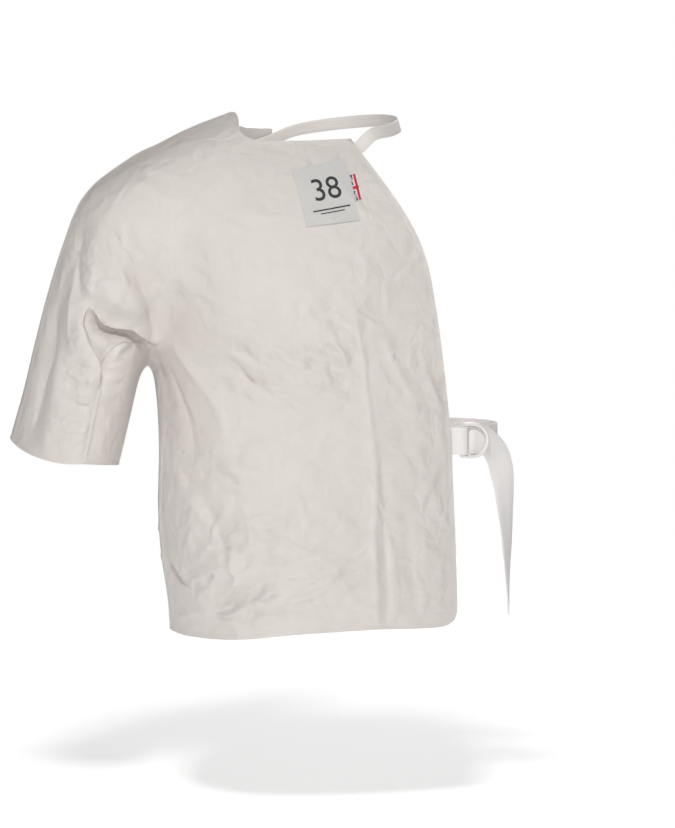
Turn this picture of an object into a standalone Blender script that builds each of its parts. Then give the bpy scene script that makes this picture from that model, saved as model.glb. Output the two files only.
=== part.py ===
"""A fencing plastron: the one-sleeved protective half jacket that is worn under the main jacket.

The front and the back are each cut in one with their half of the short right sleeve, and they meet at
the shoulder and overarm seam, the underarm seam and the side seam. A tape goes round the neck. A
webbing strap goes round the waist from the back and is threaded through a pair of D rings that hang
on a webbing tab at the front's left edge.

Frame: +Z is up, -Y is the wearer's front and -X the wearer's right. The origin is the middle of the
neck at the height of the shoulder seam's neck end. Sizes are in millimetres until a mesh is made.
"""

import bpy
import numpy as np
from mathutils.bvhtree import BVHTree

MM = 0.001

# Driving sizes
WALL = 2.0
SEAM_GAP = 0.34
TORSO_ROUNDNESS = 2.25
SLEEVE_ROUNDNESS = 1.9
HEM_HEIGHT = -461.0

WEBBING_WIDTH = 24.0
WEBBING_THICK = 1.5
NECK_TAPE_WIDTH = 11.5
NECK_TAPE_THICK = 1.2
TAPE_EASE = 0.5
CLEARANCE = 0.35

RING_WIRE = 3.4
RING_OPENING = 25.0
RING_STRAIGHT = 11.0
RING_DEPTH = 25.0
RING_SIDES = 8
RING_TURN = 18.0
TAB_REACH = 13.0
TAB_UNDER_PANEL = 15.0
TAB_EASE = 0.9

LABEL_THICK = 0.6
LABEL_LIFT = 0.5
LABEL_CORNERS = [(-72.5, -53.8), (-23.8, -43.1), (-18.4, -96.8), (-65.7, -102.5)]
FLAG_CORNERS = [(-21.7, -57.7), (-15.9, -56.4), (-13.8, -77.7), (-19.5, -79.4)]

# The worn cloth round the trunk: half width, and how far the front and the back stand from the axis
TRUNK = np.array(
    [
        # height, half_width, front, back
        (30.0, 62.0, 44.0, 58.0),
        (12.0, 80.0, 52.0, 64.0),
        (0.0, 99.0, 60.0, 70.0),
        (-12.0, 131.0, 66.0, 74.0),
        (-26.0, 160.0, 73.0, 79.0),
        (-40.0, 180.0, 81.0, 85.0),
        (-60.0, 192.0, 92.0, 93.0),
        (-85.0, 192.0, 102.0, 100.0),
        (-115.0, 186.0, 111.0, 106.0),
        (-150.0, 181.0, 117.0, 109.0),
        (-190.0, 175.0, 119.0, 107.0),
        (-225.0, 169.0, 117.0, 102.0),
        (-260.0, 165.5, 114.0, 97.0),
        (-300.0, 164.0, 112.0, 95.0),
        (-350.0, 165.0, 112.0, 97.0),
        (-400.0, 161.0, 114.0, 102.0),
        (-435.0, 155.0, 116.0, 106.0),
        (-480.0, 152.0, 118.0, 110.0),
    ]
)

# The sleeve's axis, and its half sizes square to that axis
SLEEVE_TOP = np.array((-196.0, 6.0, -104.0))
SLEEVE_END = np.array((-244.0, 40.0, -304.0))
SLEEVE = np.array(
    [
        # distance down the axis, outward, inward, front, back
        (-60.0, 46.0, 40.0, 55.0, 55.0),
        (0.0, 48.0, 42.0, 58.0, 57.0),
        (60.0, 51.0, 43.0, 60.0, 60.0),
        (120.0, 50.0, 45.5, 60.0, 62.0),
        (170.0, 48.0, 48.0, 60.0, 62.0),
        (230.0, 49.0, 50.0, 61.0, 63.0),
    ]
)
SHOULDER_CAP = 1.0

# How wide the fillet between trunk and sleeve is, by height: wide at the shoulder, tight in the armpit
FILLET = np.array([(-260.0, 16.0), (-222.0, 24.0), (-190.0, 32.0), (-150.0, 40.0), (-60.0, 44.0)])

# Seams and edges, as points near the cloth, which are then brought onto it
NECK_POINT = (-99.0, 5.0, -1.0)
SHOULDER_POINT = (-221.0, 12.0, -64.0)
ARMPIT_POINT = (-181.0, -15.0, -208.5)
ARMPIT_REACH = 24.0
SHOULDER_SEAM = [SHOULDER_POINT, (-183.0, 10.0, -38.0), (-137.0, 8.0, -12.0), NECK_POINT]
OVERARM_POINT = (-270.0, 27.0, -196.0)
OVERARM_SEAM = [
    SHOULDER_POINT,
    (-242.0, 12.0, -88.0),
    (-257.0, 16.0, -125.0),
    OVERARM_POINT,
    (-274.0, 30.0, -219.0),
    (-281.0, 36.0, -254.0),
    (-291.0, 40.0, -291.0),
]
UNDERARM_POINT = (-226.0, -38.0, -212.0)
UNDERARM_SEAM = [
    ARMPIT_POINT,
    (-191.0, -24.0, -204.5),
    (-201.5, -32.0, -203.0),
    (-213.0, -37.4, -203.2),
    UNDERARM_POINT,
    (-228.5, -36.0, -222.0),
    (-230.0, -31.0, -243.0),
    (-234.0, -28.0, -266.0),
    (-241.0, -24.0, -309.0),
]
SLEEVE_FRONT = [
    OVERARM_POINT,
    (-266.0, -12.0, -195.0),
    (-250.0, -31.0, -196.0),
    (-236.0, -37.0, -201.0),
    UNDERARM_POINT,
]
SIDE_POINT = (-165.5, -11.5, -254.0)
SIDE_SEAM = [
    ARMPIT_POINT,
    (-172.5, -15.5, -219.0),
    (-168.0, -14.5, -233.0),
    SIDE_POINT,
    (-164.0, 1.0, -290.0),
    (-163.0, 7.0, -350.0),
    (-158.0, 8.0, -410.0),
    (-152.0, 8.0, HEM_HEIGHT),
]
CHEST_POINT = (-207.0, -51.0, -124.0)
FRONT_ARMHOLE = [
    SHOULDER_POINT,
    (-222.0, -34.0, -88.0),
    CHEST_POINT,
    (-195.0, -43.0, -163.5),
    (-186.5, -30.0, -188.0),
    ARMPIT_POINT,
]
BACK_ARMHOLE = [
    SHOULDER_POINT,
    (-212.0, 45.0, -85.0),
    (-200.0, 66.0, -125.0),
    (-188.0, 66.0, -170.0),
    (-178.0, 48.5, -198.0),
    (-172.5, 31.0, -219.0),
    (-174.5, 14.0, -226.0),
    (-177.5, -1.0, -220.0),
    ARMPIT_POINT,
]
NECK_CORNER = (-14.0, -74.0, -24.0)
NECK_FRONT_POINT = (-104.0, -60.0, -25.0)
FRONT_NECKLINE = [
    NECK_POINT,
    (-101.0, -18.0, -3.0),
    (-106.0, -38.0, -10.0),
    (-109.0, -51.0, -19.0),
    NECK_FRONT_POINT,
    (-88.0, -66.0, -26.5),
    (-60.0, -71.0, -26.5),
    NECK_CORNER,
]
YOKE_LINE = [CHEST_POINT, (-176.0, -68.0, -82.0), (-138.0, -66.0, -46.0), NECK_FRONT_POINT]
EDGE_TURN = (74.2, -106.0, -434.0)
HEM_CORNER = (70.5, -107.0, -447.5)
HEM_TURN = (58.0, -111.0, -453.0)
LEFT_EDGE = [
    NECK_CORNER,
    (-2.0, -86.0, -44.0),
    (14.0, -97.0, -71.0),
    (29.0, -105.0, -97.0),
    (40.0, -111.0, -124.0),
    (49.5, -114.0, -175.0),
    (57.0, -112.0, -218.0),
    (63.0, -108.0, -253.0),
    (67.5, -105.0, -291.0),
    (72.0, -105.0, -356.0),
    (73.8, -106.0, -412.0),
    EDGE_TURN,
    (73.5, -106.0, -442.0),
    HEM_CORNER,
]
CUFF_FRONT = [OVERARM_SEAM[-1], (-278.0, 2.0, -303.0), (-262.0, -18.0, -308.0), UNDERARM_SEAM[-1]]
CUFF_BACK = [
    OVERARM_SEAM[-1],
    (-286.0, 68.0, -288.0),
    (-262.0, 96.0, -287.0),
    (-226.0, 92.0, -293.0),
    (-203.0, 62.0, -303.0),
    (-195.0, 28.0, -312.0),
    (-208.0, -12.0, -313.0),
    UNDERARM_SEAM[-1],
]
FRONT_HEM = [
    SIDE_SEAM[-1],
    (-148.0, -48.0, -462.0),
    (-128.0, -80.0, -461.0),
    (-75.0, -108.0, -455.0),
    (0.0, -118.0, -452.0),
    (40.0, -114.0, -453.0),
    HEM_TURN,
    (66.0, -108.0, -451.0),
    HEM_CORNER,
]
NAPE_CORNER = (-38.0, 72.0, -12.0)
BACK_NECKLINE = [NECK_POINT, (-96.0, 30.0, -5.0), (-84.0, 52.0, -9.0), (-62.0, 66.0, -12.0), NAPE_CORNER]
BACK_EDGE = [
    NAPE_CORNER,
    (-36.0, 88.0, -50.0),
    (-42.0, 100.0, -110.0),
    (-58.0, 104.0, -170.0),
    (-80.0, 94.0, -230.0),
    (-96.0, 84.0, -290.0),
    (-102.0, 82.0, -350.0),
    (-104.0, 86.0, -405.0),
    (-104.0, 88.0, -459.0),
]
BACK_HEM = [SIDE_SEAM[-1], (-144.0, 55.0, -460.0), (-124.0, 76.0, -460.0), BACK_EDGE[-1]]

# How many cells run along each seam or edge: the two sides of a seam have the same
CELLS = {
    "shoulder": 11,
    "front_of_neck": 8,
    "back_of_neck": 7,
    "upper_armhole": 7,
    "lower_armhole": 11,
    "back_armhole": 22,
    "upper_sleeve": 8,
    "lower_sleeve": 10,
    "upper_side": 6,
    "lower_side": 15,
}

# The largest folds: a ridge where out is positive and a trough where it is negative
FOLDS = [
    # from, to, out, half_width
    ((-235.0, -35.0, -177.0), (-225.0, -38.0, -186.0), -7.5, 10.0),  # hollow before the armpit
    ((-225.0, -38.0, -186.0), (-206.0, -38.0, -190.0), -7.5, 9.5),
    ((-206.0, -38.0, -190.0), (-194.0, -32.0, -197.0), -3.5, 8.5),
    ((-234.0, -38.0, -154.0), (-222.0, -42.0, -166.0), 5.0, 9.0),  # flap that hangs over it
    ((-222.0, -42.0, -166.0), (-200.0, -40.0, -172.0), 6.5, 10.0),
    ((-200.0, -40.0, -172.0), (-187.0, -32.0, -188.0), 6.0, 9.5),
    ((-238.0, -32.0, -128.0), (-222.0, -44.0, -158.0), 3.5, 10.0),
    ((-221.0, -43.0, -108.0), (-213.0, -47.0, -122.0), -4.5, 6.5),  # groove at the flap's inner edge
    ((-213.0, -47.0, -122.0), (-196.0, -44.0, -160.0), -4.0, 8.0),
    ((-190.0, -40.0, -172.0), (-174.0, -30.0, -204.0), -4.5, 8.0),
    ((-243.5, -12.0, -106.0), (-248.0, -19.0, -145.0), -4.0, 8.0),  # groove down the upper sleeve
    ((-252.0, -14.0, -120.0), (-252.0, -18.0, -165.0), 3.0, 8.0),  # roll at the hollow's outer edge
    ((-246.0, -26.0, -166.0), (-247.0, -28.0, -196.0), 6.0, 8.0),
    ((-247.0, -28.0, -196.0), (-237.0, -30.0, -226.0), 6.0, 7.0),
    ((-237.0, -30.0, -226.0), (-234.0, -28.0, -246.0), 4.0, 6.0),
    ((-257.0, -4.0, -155.0), (-268.0, 4.0, -205.0), -4.0, 9.0),  # shaded trough to the cuff
    ((-268.0, 4.0, -205.0), (-277.0, 6.0, -275.0), -4.0, 11.0),
    ((-260.0, -12.0, -205.0), (-270.0, -6.0, -285.0), 3.5, 10.0),
    ((-229.0, -33.0, -226.0), (-230.0, -31.0, -242.0), -2.5, 9.0),  # where the underarm seam is drawn in
    ((-216.0, -34.0, -214.0), (-202.0, -31.0, -208.0), 2.0, 8.0),  # second roll under the flap
    ((-248.0, -22.0, -262.0), (-252.0, -18.0, -300.0), 2.5, 10.0),
    ((-174.0, -26.0, -210.0), (-158.0, -46.0, -252.0), 3.5, 11.0),  # drag from the armpit
    ((-158.0, -46.0, -252.0), (-150.0, -54.0, -300.0), 3.0, 14.0),
    ((-168.0, -12.0, -236.0), (-162.0, -20.0, -300.0), -3.0, 12.0),
    ((-4.0, -108.0, -105.0), (-10.0, -118.0, -200.0), 2.5, 12.0),  # crease down the chest
    ((-10.0, -118.0, -200.0), (-7.0, -112.0, -300.0), 3.0, 12.0),
    ((-7.0, -112.0, -300.0), (-6.0, -115.0, -440.0), 3.0, 15.0),
    ((60.0, -106.0, -300.0), (2.0, -112.0, -342.0), 2.5, 11.0),  # pulls from the strap's tab
    ((58.0, -107.0, -280.0), (11.0, -115.0, -243.0), 2.5, 10.0),
    ((-123.0, -92.0, -190.0), (-82.0, -107.0, -218.0), 2.6, 13.0),  # slanting crumples
    ((-82.0, -107.0, -218.0), (-52.0, -111.0, -254.0), -2.6, 12.0),
    ((-160.0, -30.0, -315.0), (-143.0, -62.0, -362.0), 3.5, 11.0),
    ((-152.0, -52.0, -305.0), (-124.0, -80.0, -372.0), -3.0, 13.0),
    ((-150.0, -20.0, -440.0), (-123.0, -80.0, -390.0), 3.2, 13.0),
    ((-123.0, -80.0, -390.0), (-88.0, -99.0, -355.0), 2.4, 14.0),
    ((-145.0, -44.0, -452.0), (-105.0, -91.0, -422.0), -3.0, 13.0),
    ((-112.0, -86.0, -448.0), (-60.0, -108.0, -420.0), 2.6, 12.0),
    ((-262.0, 62.0, -120.0), (-282.0, 80.0, -280.0), 4.0, 15.0),  # the sleeve's back
    ((-242.0, 84.0, -140.0), (-252.0, 98.0, -282.0), -4.0, 14.0),
    ((-222.0, 84.0, -150.0), (-222.0, 92.0, -250.0), 3.5, 13.0),
    ((-202.0, 68.0, -150.0), (-184.0, 56.0, -186.0), -5.5, 11.0),  # hollow behind the armpit
    ((-190.0, 88.0, -130.0), (-150.0, 92.0, -230.0), 4.0, 16.0),
    ((-164.0, 96.0, -100.0), (-128.0, 98.0, -220.0), -3.5, 16.0),
    ((-150.0, 62.0, -320.0), (-144.0, 60.0, -440.0), 3.0, 14.0),
    ((-100.0, 104.0, -70.0), (-94.0, 104.0, -200.0), 3.0, 18.0),
]

# The waist strap: where it lies on the wearer past the front
WAIST_HALF_WIDTH = 146.0
WAIST_FRONT = 106.0
WAIST_BACK = 90.0
WAIST_HEIGHT = -290.0
STRAP_MEETS_ANGLE = 180.0 + 42.0
STRAP_END_ANGLE = 64.0

# The strap's free end after the rings: shares of the way right, forward and up say where its width points
FREE_END = np.array(
    [
        # x, y, z, width_right, width_forward, width_up
        (114.0, -89.0, -297.5, 0.40, -0.10, 0.90),
        (121.5, -83.0, -305.5, 0.66, -0.20, 0.70),
        (127.5, -77.0, -317.0, 0.78, -0.35, 0.50),
        (131.5, -73.0, -329.5, 0.74, -0.58, 0.26),
        (134.0, -70.0, -345.0, 0.66, -0.74, 0.08),
        (136.0, -68.0, -364.0, 0.52, -0.85, 0.00),
        (137.2, -67.0, -382.0, 0.40, -0.91, 0.00),
        (138.2, -66.0, -405.0, 0.25, -0.96, 0.00),
        (139.2, -65.5, -428.0, 0.12, -0.99, 0.00),
        (140.0, -65.0, -449.0, 0.05, -1.00, 0.00),
    ]
)
FREE_END_RIGHT = np.array((0.94, -0.342, 0.0))
FREE_END_FORWARD = np.array((-0.342, -0.94, 0.0))
FREE_END_CELLS = 34

# The neck tape between its sewn ends, round the wearer's left of the neck
NECK_ROUTE = np.array(
    [
        # x, y, z, across_x, across_y, across_z
        (7.5, -69.0, -21.3, -0.18, 0.36, 0.91),
        (18.0, -63.0, -18.6, -0.20, 0.28, 0.93),
        (27.4, -55.5, -17.2, -0.22, 0.24, 0.94),
        (41.0, -40.0, -13.6, -0.24, 0.18, 0.95),
        (51.5, -19.0, -9.8, -0.26, 0.08, 0.96),
        (55.0, 6.0, -6.5, -0.28, -0.04, 0.96),
        (49.0, 32.0, -5.0, -0.24, -0.16, 0.95),
        (32.0, 53.0, -6.0, -0.15, -0.26, 0.95),
        (8.0, 64.0, -9.0, -0.05, -0.30, 0.95),
        (-16.0, 68.0, -13.5, 0.05, -0.42, 0.90),
    ]
)
NECK_TAPE_FRONT = [(-31.0, -76.0, -41.5), (-19.0, -78.0, -37.5), (-8.0, -77.0, -31.5)]
NECK_TAPE_BACK = [(-44.0, 72.0, -25.0), (-60.0, 72.0, -30.0)]
NECK_TAPE_CELLS = 44


def read_column(table, column, at):
    """A smooth curve through one column of a table whose first column is the position."""
    order = np.argsort(table[:, 0])
    places, values = table[order, 0], table[order, column]
    slopes = np.gradient(values, places)
    i = np.clip(np.searchsorted(places, at) - 1, 0, len(places) - 2)
    span = places[i + 1] - places[i]
    u = np.clip((at - places[i]) / span, 0.0, 1.0)
    start, end = values[i] + 0.0 * u, values[i + 1] + 0.0 * u
    rise_start, rise_end = slopes[i] * span, slopes[i + 1] * span
    return (
        start * (1 + 2 * u) * (1 - u) ** 2
        + rise_start * u * (1 - u) ** 2
        + end * u * u * (3 - 2 * u)
        + rise_end * u * u * (u - 1)
    )


def unit(vectors):
    length = np.linalg.norm(vectors, axis=-1, keepdims=True)
    return vectors / np.maximum(length, 1e-9)


def radius_of(across, along, half_across, half_along, roundness):
    """How far a rounded oval's rim is from its middle, in the direction of a point."""
    distance = np.hypot(across, along) + 1e-9
    share = np.abs(across / half_across) ** roundness + np.abs(along / half_along) ** roundness
    return distance / (share + 1e-12) ** (1.0 / roundness)


def trunk_gap(points):
    """How far points stand out of the cloth round the trunk."""
    x, y, z = points.T
    half_width = read_column(TRUNK, 1, z)
    depth = np.where(y < 0, read_column(TRUNK, 2, z), read_column(TRUNK, 3, z))
    return np.hypot(x, y) - radius_of(x, y, half_width, depth, TORSO_ROUNDNESS)


SLEEVE_DOWN = unit(SLEEVE_END - SLEEVE_TOP)
SLEEVE_BACKWARD = unit(np.array((0.0, 1.0, 0.0)) - SLEEVE_DOWN[1] * SLEEVE_DOWN)
SLEEVE_OUTWARD = np.cross(SLEEVE_BACKWARD, SLEEVE_DOWN)
if SLEEVE_OUTWARD[0] > 0:
    SLEEVE_OUTWARD = -SLEEVE_OUTWARD


def sleeve_gap(points):
    """How far points stand out of the sleeve, which is closed by a round cap inside the shoulder."""
    from_top = points - SLEEVE_TOP
    down = from_top @ SLEEVE_DOWN
    outward = from_top @ SLEEVE_OUTWARD
    backward = from_top @ SLEEVE_BACKWARD
    half_across = np.where(outward > 0, read_column(SLEEVE, 1, down), read_column(SLEEVE, 2, down))
    half_along = np.where(backward < 0, read_column(SLEEVE, 3, down), read_column(SLEEVE, 4, down))
    rim = radius_of(outward, backward, half_across, half_along, SLEEVE_ROUNDNESS)
    past_top = np.minimum(down, 0.0) * SHOULDER_CAP
    return np.sqrt(outward**2 + backward**2 + past_top**2) - rim


def cloth_gap(points):
    """How far points stand out of trunk and sleeve together, with a fillet where they meet."""
    trunk, sleeve = trunk_gap(points), sleeve_gap(points)
    fillet = read_column(FILLET, 1, points[:, 2])
    return np.minimum(trunk, sleeve) - np.maximum(fillet - np.abs(trunk - sleeve), 0.0) ** 2 / (4 * fillet)


def cloth_slope(points):
    """The gradient of cloth_gap, by differences."""
    step = 0.4
    slope = np.empty_like(points)
    for axis in range(3):
        move = np.zeros(3)
        move[axis] = step
        slope[:, axis] = (cloth_gap(points + move) - cloth_gap(points - move)) / (2 * step)
    return slope


def onto_cloth(points):
    points = np.array(points, float)
    for _ in range(8):
        slope = cloth_slope(points)
        steepness = np.maximum((slope**2).sum(1), 0.2)
        points -= (np.clip(cloth_gap(points), -20, 20) / steepness)[:, None] * slope
    return points


def beneath_cloth(points, depth):
    """The points of the form under the cloth's outer face, at a depth, nearest the ones given."""
    found = onto_cloth(np.array(points, float))
    return found - depth * unit(cloth_slope(found))


def smooth_route(points, cells):
    """Evenly spaced points on a smooth curve through the given ones."""
    points = np.array(points, float)
    steps = np.r_[0.0, np.cumsum(np.linalg.norm(np.diff(points[:, :3], axis=0), axis=1))]
    fine = np.linspace(0.0, steps[-1], 40 * len(points))
    table = np.column_stack([steps, points])
    dense = np.column_stack([read_column(table, c + 1, fine) for c in range(points.shape[1])])
    length = np.r_[0.0, np.cumsum(np.linalg.norm(np.diff(dense[:, :3], axis=0), axis=1))]
    at = np.linspace(0.0, length[-1], cells + 1)
    return np.column_stack([np.interp(at, length, dense[:, c]) for c in range(dense.shape[1])])


def seam(points, cells):
    return onto_cloth(smooth_route(points, cells))


def seam_in_two(points, middle, first_cells, second_cells):
    """A smooth seam in two stretches that meet at one of its given points, each with its own cells."""
    dense = smooth_route(points, 600)
    split = np.argmin(np.linalg.norm(dense - np.array(middle), axis=1))
    stretches = []
    for part_of, cells in ((dense[: split + 1], first_cells), (dense[split:], second_cells)):
        length = np.r_[0.0, np.cumsum(np.linalg.norm(np.diff(part_of, axis=0), axis=1))]
        at = np.linspace(0.0, length[-1], cells + 1)
        stretches.append(np.column_stack([np.interp(at, length, part_of[:, k]) for k in range(3)]))
    return onto_cloth(np.vstack([stretches[0], stretches[1][1:]]))


def patch(top, bottom, left, right):
    """A grid of points between four edges. Top and bottom run left to right, the others downwards."""
    rows, columns = len(left), len(top)
    down = np.linspace(0, 1, rows)[:, None, None]
    across = np.linspace(0, 1, columns)[None, :, None]
    ruled = (1 - down) * top[None] + down * bottom[None] + (1 - across) * left[:, None] + across * right[:, None]
    corners = (
        (1 - down) * (1 - across) * top[0]
        + (1 - down) * across * top[-1]
        + down * (1 - across) * bottom[0]
        + down * across * bottom[-1]
    )
    return ruled - corners


def join_patches(grids):
    """Points and four-sided faces of several grids, with the points that they share made one."""
    points, faces, seen = [], [], {}
    for grid in grids:
        index = np.empty(grid.shape[:2], int)
        for cell in np.ndindex(*index.shape):
            key = tuple(np.round(grid[cell], 3))
            if key not in seen:
                seen[key] = len(points)
                points.append(grid[cell])
            index[cell] = seen[key]
        for row in range(index.shape[0] - 1):
            for column in range(index.shape[1] - 1):
                faces.append(
                    (
                        index[row, column],
                        index[row + 1, column],
                        index[row + 1, column + 1],
                        index[row, column + 1],
                    )
                )
    return np.array(points), np.array(faces)


def rim_edges(faces):
    """The edges that only one face has, each in that face's direction, and the face's number."""
    owners = {}
    for number, face in enumerate(faces):
        for start, end in zip(face, np.roll(face, -1)):
            owners.setdefault(frozenset((start, end)), []).append((start, end, number))
    return [found[0] for found in owners.values() if len(found) == 1]


def relax(points, faces, rounds):
    """Spreads the inner points evenly over the cloth and leaves the rim where it is."""
    links = np.concatenate([faces[:, [0, 1]], faces[:, [1, 2]], faces[:, [2, 3]], faces[:, [3, 0]]])
    links = np.unique(np.sort(links, axis=1), axis=0)
    rim = np.zeros(len(points), bool)
    for start, end, _ in rim_edges(faces):
        rim[[start, end]] = True
    for _ in range(rounds):
        total, count = np.zeros_like(points), np.zeros(len(points))
        for a, b in (links.T, links.T[::-1]):
            np.add.at(total, a, points[b])
            np.add.at(count, a, 1)
        even = total / count[:, None]
        points = np.where(rim[:, None], points, onto_cloth(0.5 * points + 0.5 * even))
    return points


def even_out(values, faces, rounds):
    """Averages each inner point's value with its neighbours' values."""
    links = np.concatenate([faces[:, [0, 1]], faces[:, [1, 2]], faces[:, [2, 3]], faces[:, [3, 0]]])
    links = np.unique(np.sort(links, axis=1), axis=0)
    rim = np.zeros(len(values), bool)
    for start, end, _ in rim_edges(faces):
        rim[[start, end]] = True
    for _ in range(rounds):
        total, count = np.zeros(len(values)), np.zeros(len(values))
        for a, b in (links.T, links.T[::-1]):
            np.add.at(total, a, values[b])
            np.add.at(count, a, 1)
        values = np.where(rim, values, 0.5 * values + 0.5 * total / count)
    return values


def fold_height(points):
    """How far the folds lift or sink the cloth at points."""
    height = np.zeros(len(points))
    for start, end, out, half_width in FOLDS:
        start, end = np.array(start), np.array(end)
        along = end - start
        share = np.clip(((points - start) @ along) / (along @ along), 0, 1)
        distance = np.linalg.norm(points - (start + share[:, None] * along), axis=1)
        height += out * np.exp(-((distance / half_width) ** 2))
    return height


def face_normals(points, faces):
    a, b, c, d = (points[faces[:, k]] for k in range(4))
    return np.cross(c - a, d - b)


def point_normals(points, faces):
    normals = np.zeros_like(points)
    for corner in range(4):
        np.add.at(normals, faces[:, corner], face_normals(points, faces))
    return unit(normals)


def drawn_in(points, faces, distance):
    """Draws the rim in by a distance, within the cloth."""
    inward = np.zeros_like(points)
    for start, end, number in rim_edges(faces):
        along = unit(points[end] - points[start])
        towards = points[faces[number]].mean(0) - points[start]
        square = unit(towards - (towards @ along) * along)
        inward[start] += square
        inward[end] += square
    return points + distance * unit(inward) * (np.linalg.norm(inward, axis=1) > 0)[:, None]


def new_object(name, points, faces, material, smooth=True):
    mesh = bpy.data.meshes.new(name)
    mesh.from_pydata([tuple(p) for p in np.asarray(points) * MM], [], [tuple(map(int, f)) for f in faces])
    mesh.materials.append(material)
    mesh.validate()
    if smooth:
        mesh.shade_smooth()
        mesh.set_sharp_from_angle(angle=np.radians(50.0))
    made = bpy.data.objects.new(name, mesh)
    bpy.context.scene.collection.objects.link(made)
    return made


def wall_mesh(outer, inner, faces):
    """Points and faces of a closed wall between two skins that have the same faces."""
    count = len(outer)
    closed = [tuple(face) for face in faces]
    closed += [tuple(np.array(face[::-1]) + count) for face in faces]
    for start, end, _ in rim_edges(faces):
        # Split from the lower outer point, so that the two sides of a seam are split alike
        if outer[start][2] < outer[end][2]:
            closed += [(end, start, end + count), (start, start + count, end + count)]
        else:
            closed += [(end, start, start + count), (end, start + count, end + count)]
    return np.vstack([outer, inner]), closed


def halves(faces):
    """Each four-sided face as two triangles."""
    return np.concatenate([faces[:, [0, 1, 2]], faces[:, [0, 2, 3]]])


class Panel:
    """A cut panel of cloth on the wearer: its outer points, faces and normals, before it gets its wall."""

    def __init__(self, grids):
        points, faces = join_patches(grids)
        points = relax(points, faces, 20)
        away = unit(cloth_slope(points))
        if (face_normals(points, faces) * away[faces[:, 0]]).sum() < 0:
            faces = faces[:, ::-1]
        points = points + even_out(fold_height(points), faces, 2)[:, None] * away
        nearness = np.exp(-((np.linalg.norm(points - ARMPIT_POINT, axis=1) / ARMPIT_REACH) ** 2))
        normals = unit(point_normals(points, faces) + (0.7 + 5.0 * nearness)[:, None] * away)
        on_rim = sorted({i for start, end, _ in rim_edges(faces) for i in (start, end)})
        normals[on_rim] = away[on_rim]
        self.points = drawn_in(points, faces, SEAM_GAP / 2)
        self.faces = halves(faces)
        self.normals = normals
        self.tree = BVHTree.FromPolygons(self.points.tolist(), self.faces.tolist())

    def edge_at(self, height):
        """The point of the panel's left edge at a height."""
        near = self.points[np.abs(self.points[:, 2] - height) < 14]
        farthest = near[np.argsort(near[:, 0])[-2:]]
        farthest = farthest[np.argsort(farthest[:, 2])]
        return [np.interp(height, farthest[:, 2], farthest[:, k]) for k in (0, 1)] + [height]

    def build(self, name, material):
        inner = self.points - WALL * self.normals
        new_object(name, *wall_mesh(self.points, inner, self.faces), material)

    def patch_on(self, name, corners, columns, rows, lift, thick, material):
        """A thin patch that lies on the panel's front. Its corners are given by x and z, clockwise."""
        top_left, top_right, bottom_right, bottom_left = (np.array(corner) for corner in corners)
        outer, inner, faces = [], [], []
        for down in np.linspace(0, 1, rows + 1):
            for across in np.linspace(0, 1, columns + 1):
                upper = (1 - across) * top_left + across * top_right
                lower = (1 - across) * bottom_left + across * bottom_right
                x, z = (1 - down) * upper + down * lower
                met, normal, _, _ = self.tree.ray_cast((x, -300.0, z), (0.0, 1.0, 0.0))
                inner.append(np.array(met) + lift * np.array(normal))
                outer.append(np.array(met) + (lift + thick) * np.array(normal))
        for row in range(rows):
            for column in range(columns):
                first = row * (columns + 1) + column
                faces.append((first, first + columns + 1, first + columns + 2, first + 1))
        new_object(name, *wall_mesh(np.array(outer), np.array(inner), halves(np.array(faces))), material)


def front_panel():
    """The front of the body with the front half of the sleeve, from four grids."""
    chest, elbow = CELLS["upper_armhole"], CELLS["upper_sleeve"]
    armhole = seam_in_two(FRONT_ARMHOLE, CHEST_POINT, chest, CELLS["lower_armhole"])
    neckline = seam_in_two(FRONT_NECKLINE, NECK_FRONT_POINT, chest, CELLS["front_of_neck"])
    overarm = seam_in_two(OVERARM_SEAM, OVERARM_POINT, elbow, CELLS["lower_sleeve"])
    underarm = seam_in_two(UNDERARM_SEAM, UNDERARM_POINT, elbow, CELLS["lower_sleeve"])
    side = seam_in_two(SIDE_SEAM, SIDE_POINT, CELLS["upper_side"], CELLS["lower_side"])
    yoke_line = seam(YOKE_LINE, CELLS["shoulder"])
    across = chest + CELLS["lower_armhole"]
    middle = seam(SLEEVE_FRONT, across)
    yoke_line[[0, -1]] = armhole[chest], neckline[chest]
    middle[[0, -1]] = overarm[elbow], underarm[elbow]
    yoke = patch(
        seam(SHOULDER_SEAM, CELLS["shoulder"]),
        yoke_line,
        armhole[: chest + 1],
        neckline[: chest + 1],
    )
    body = patch(
        np.vstack([yoke_line, neckline[chest + 1 :]]),
        seam_in_two(FRONT_HEM, HEM_TURN, CELLS["shoulder"] + CELLS["front_of_neck"] - 2, 2),
        np.vstack([armhole[chest:], side[1:]]),
        seam_in_two(LEFT_EDGE, EDGE_TURN, CELLS["lower_armhole"] + len(side) - 4, 3),
    )
    upper = patch(armhole, middle, overarm[: elbow + 1], underarm[: elbow + 1])
    lower = patch(middle, seam(CUFF_FRONT, across), overarm[elbow:], underarm[elbow:])
    return Panel([yoke, body, upper, lower])


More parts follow.
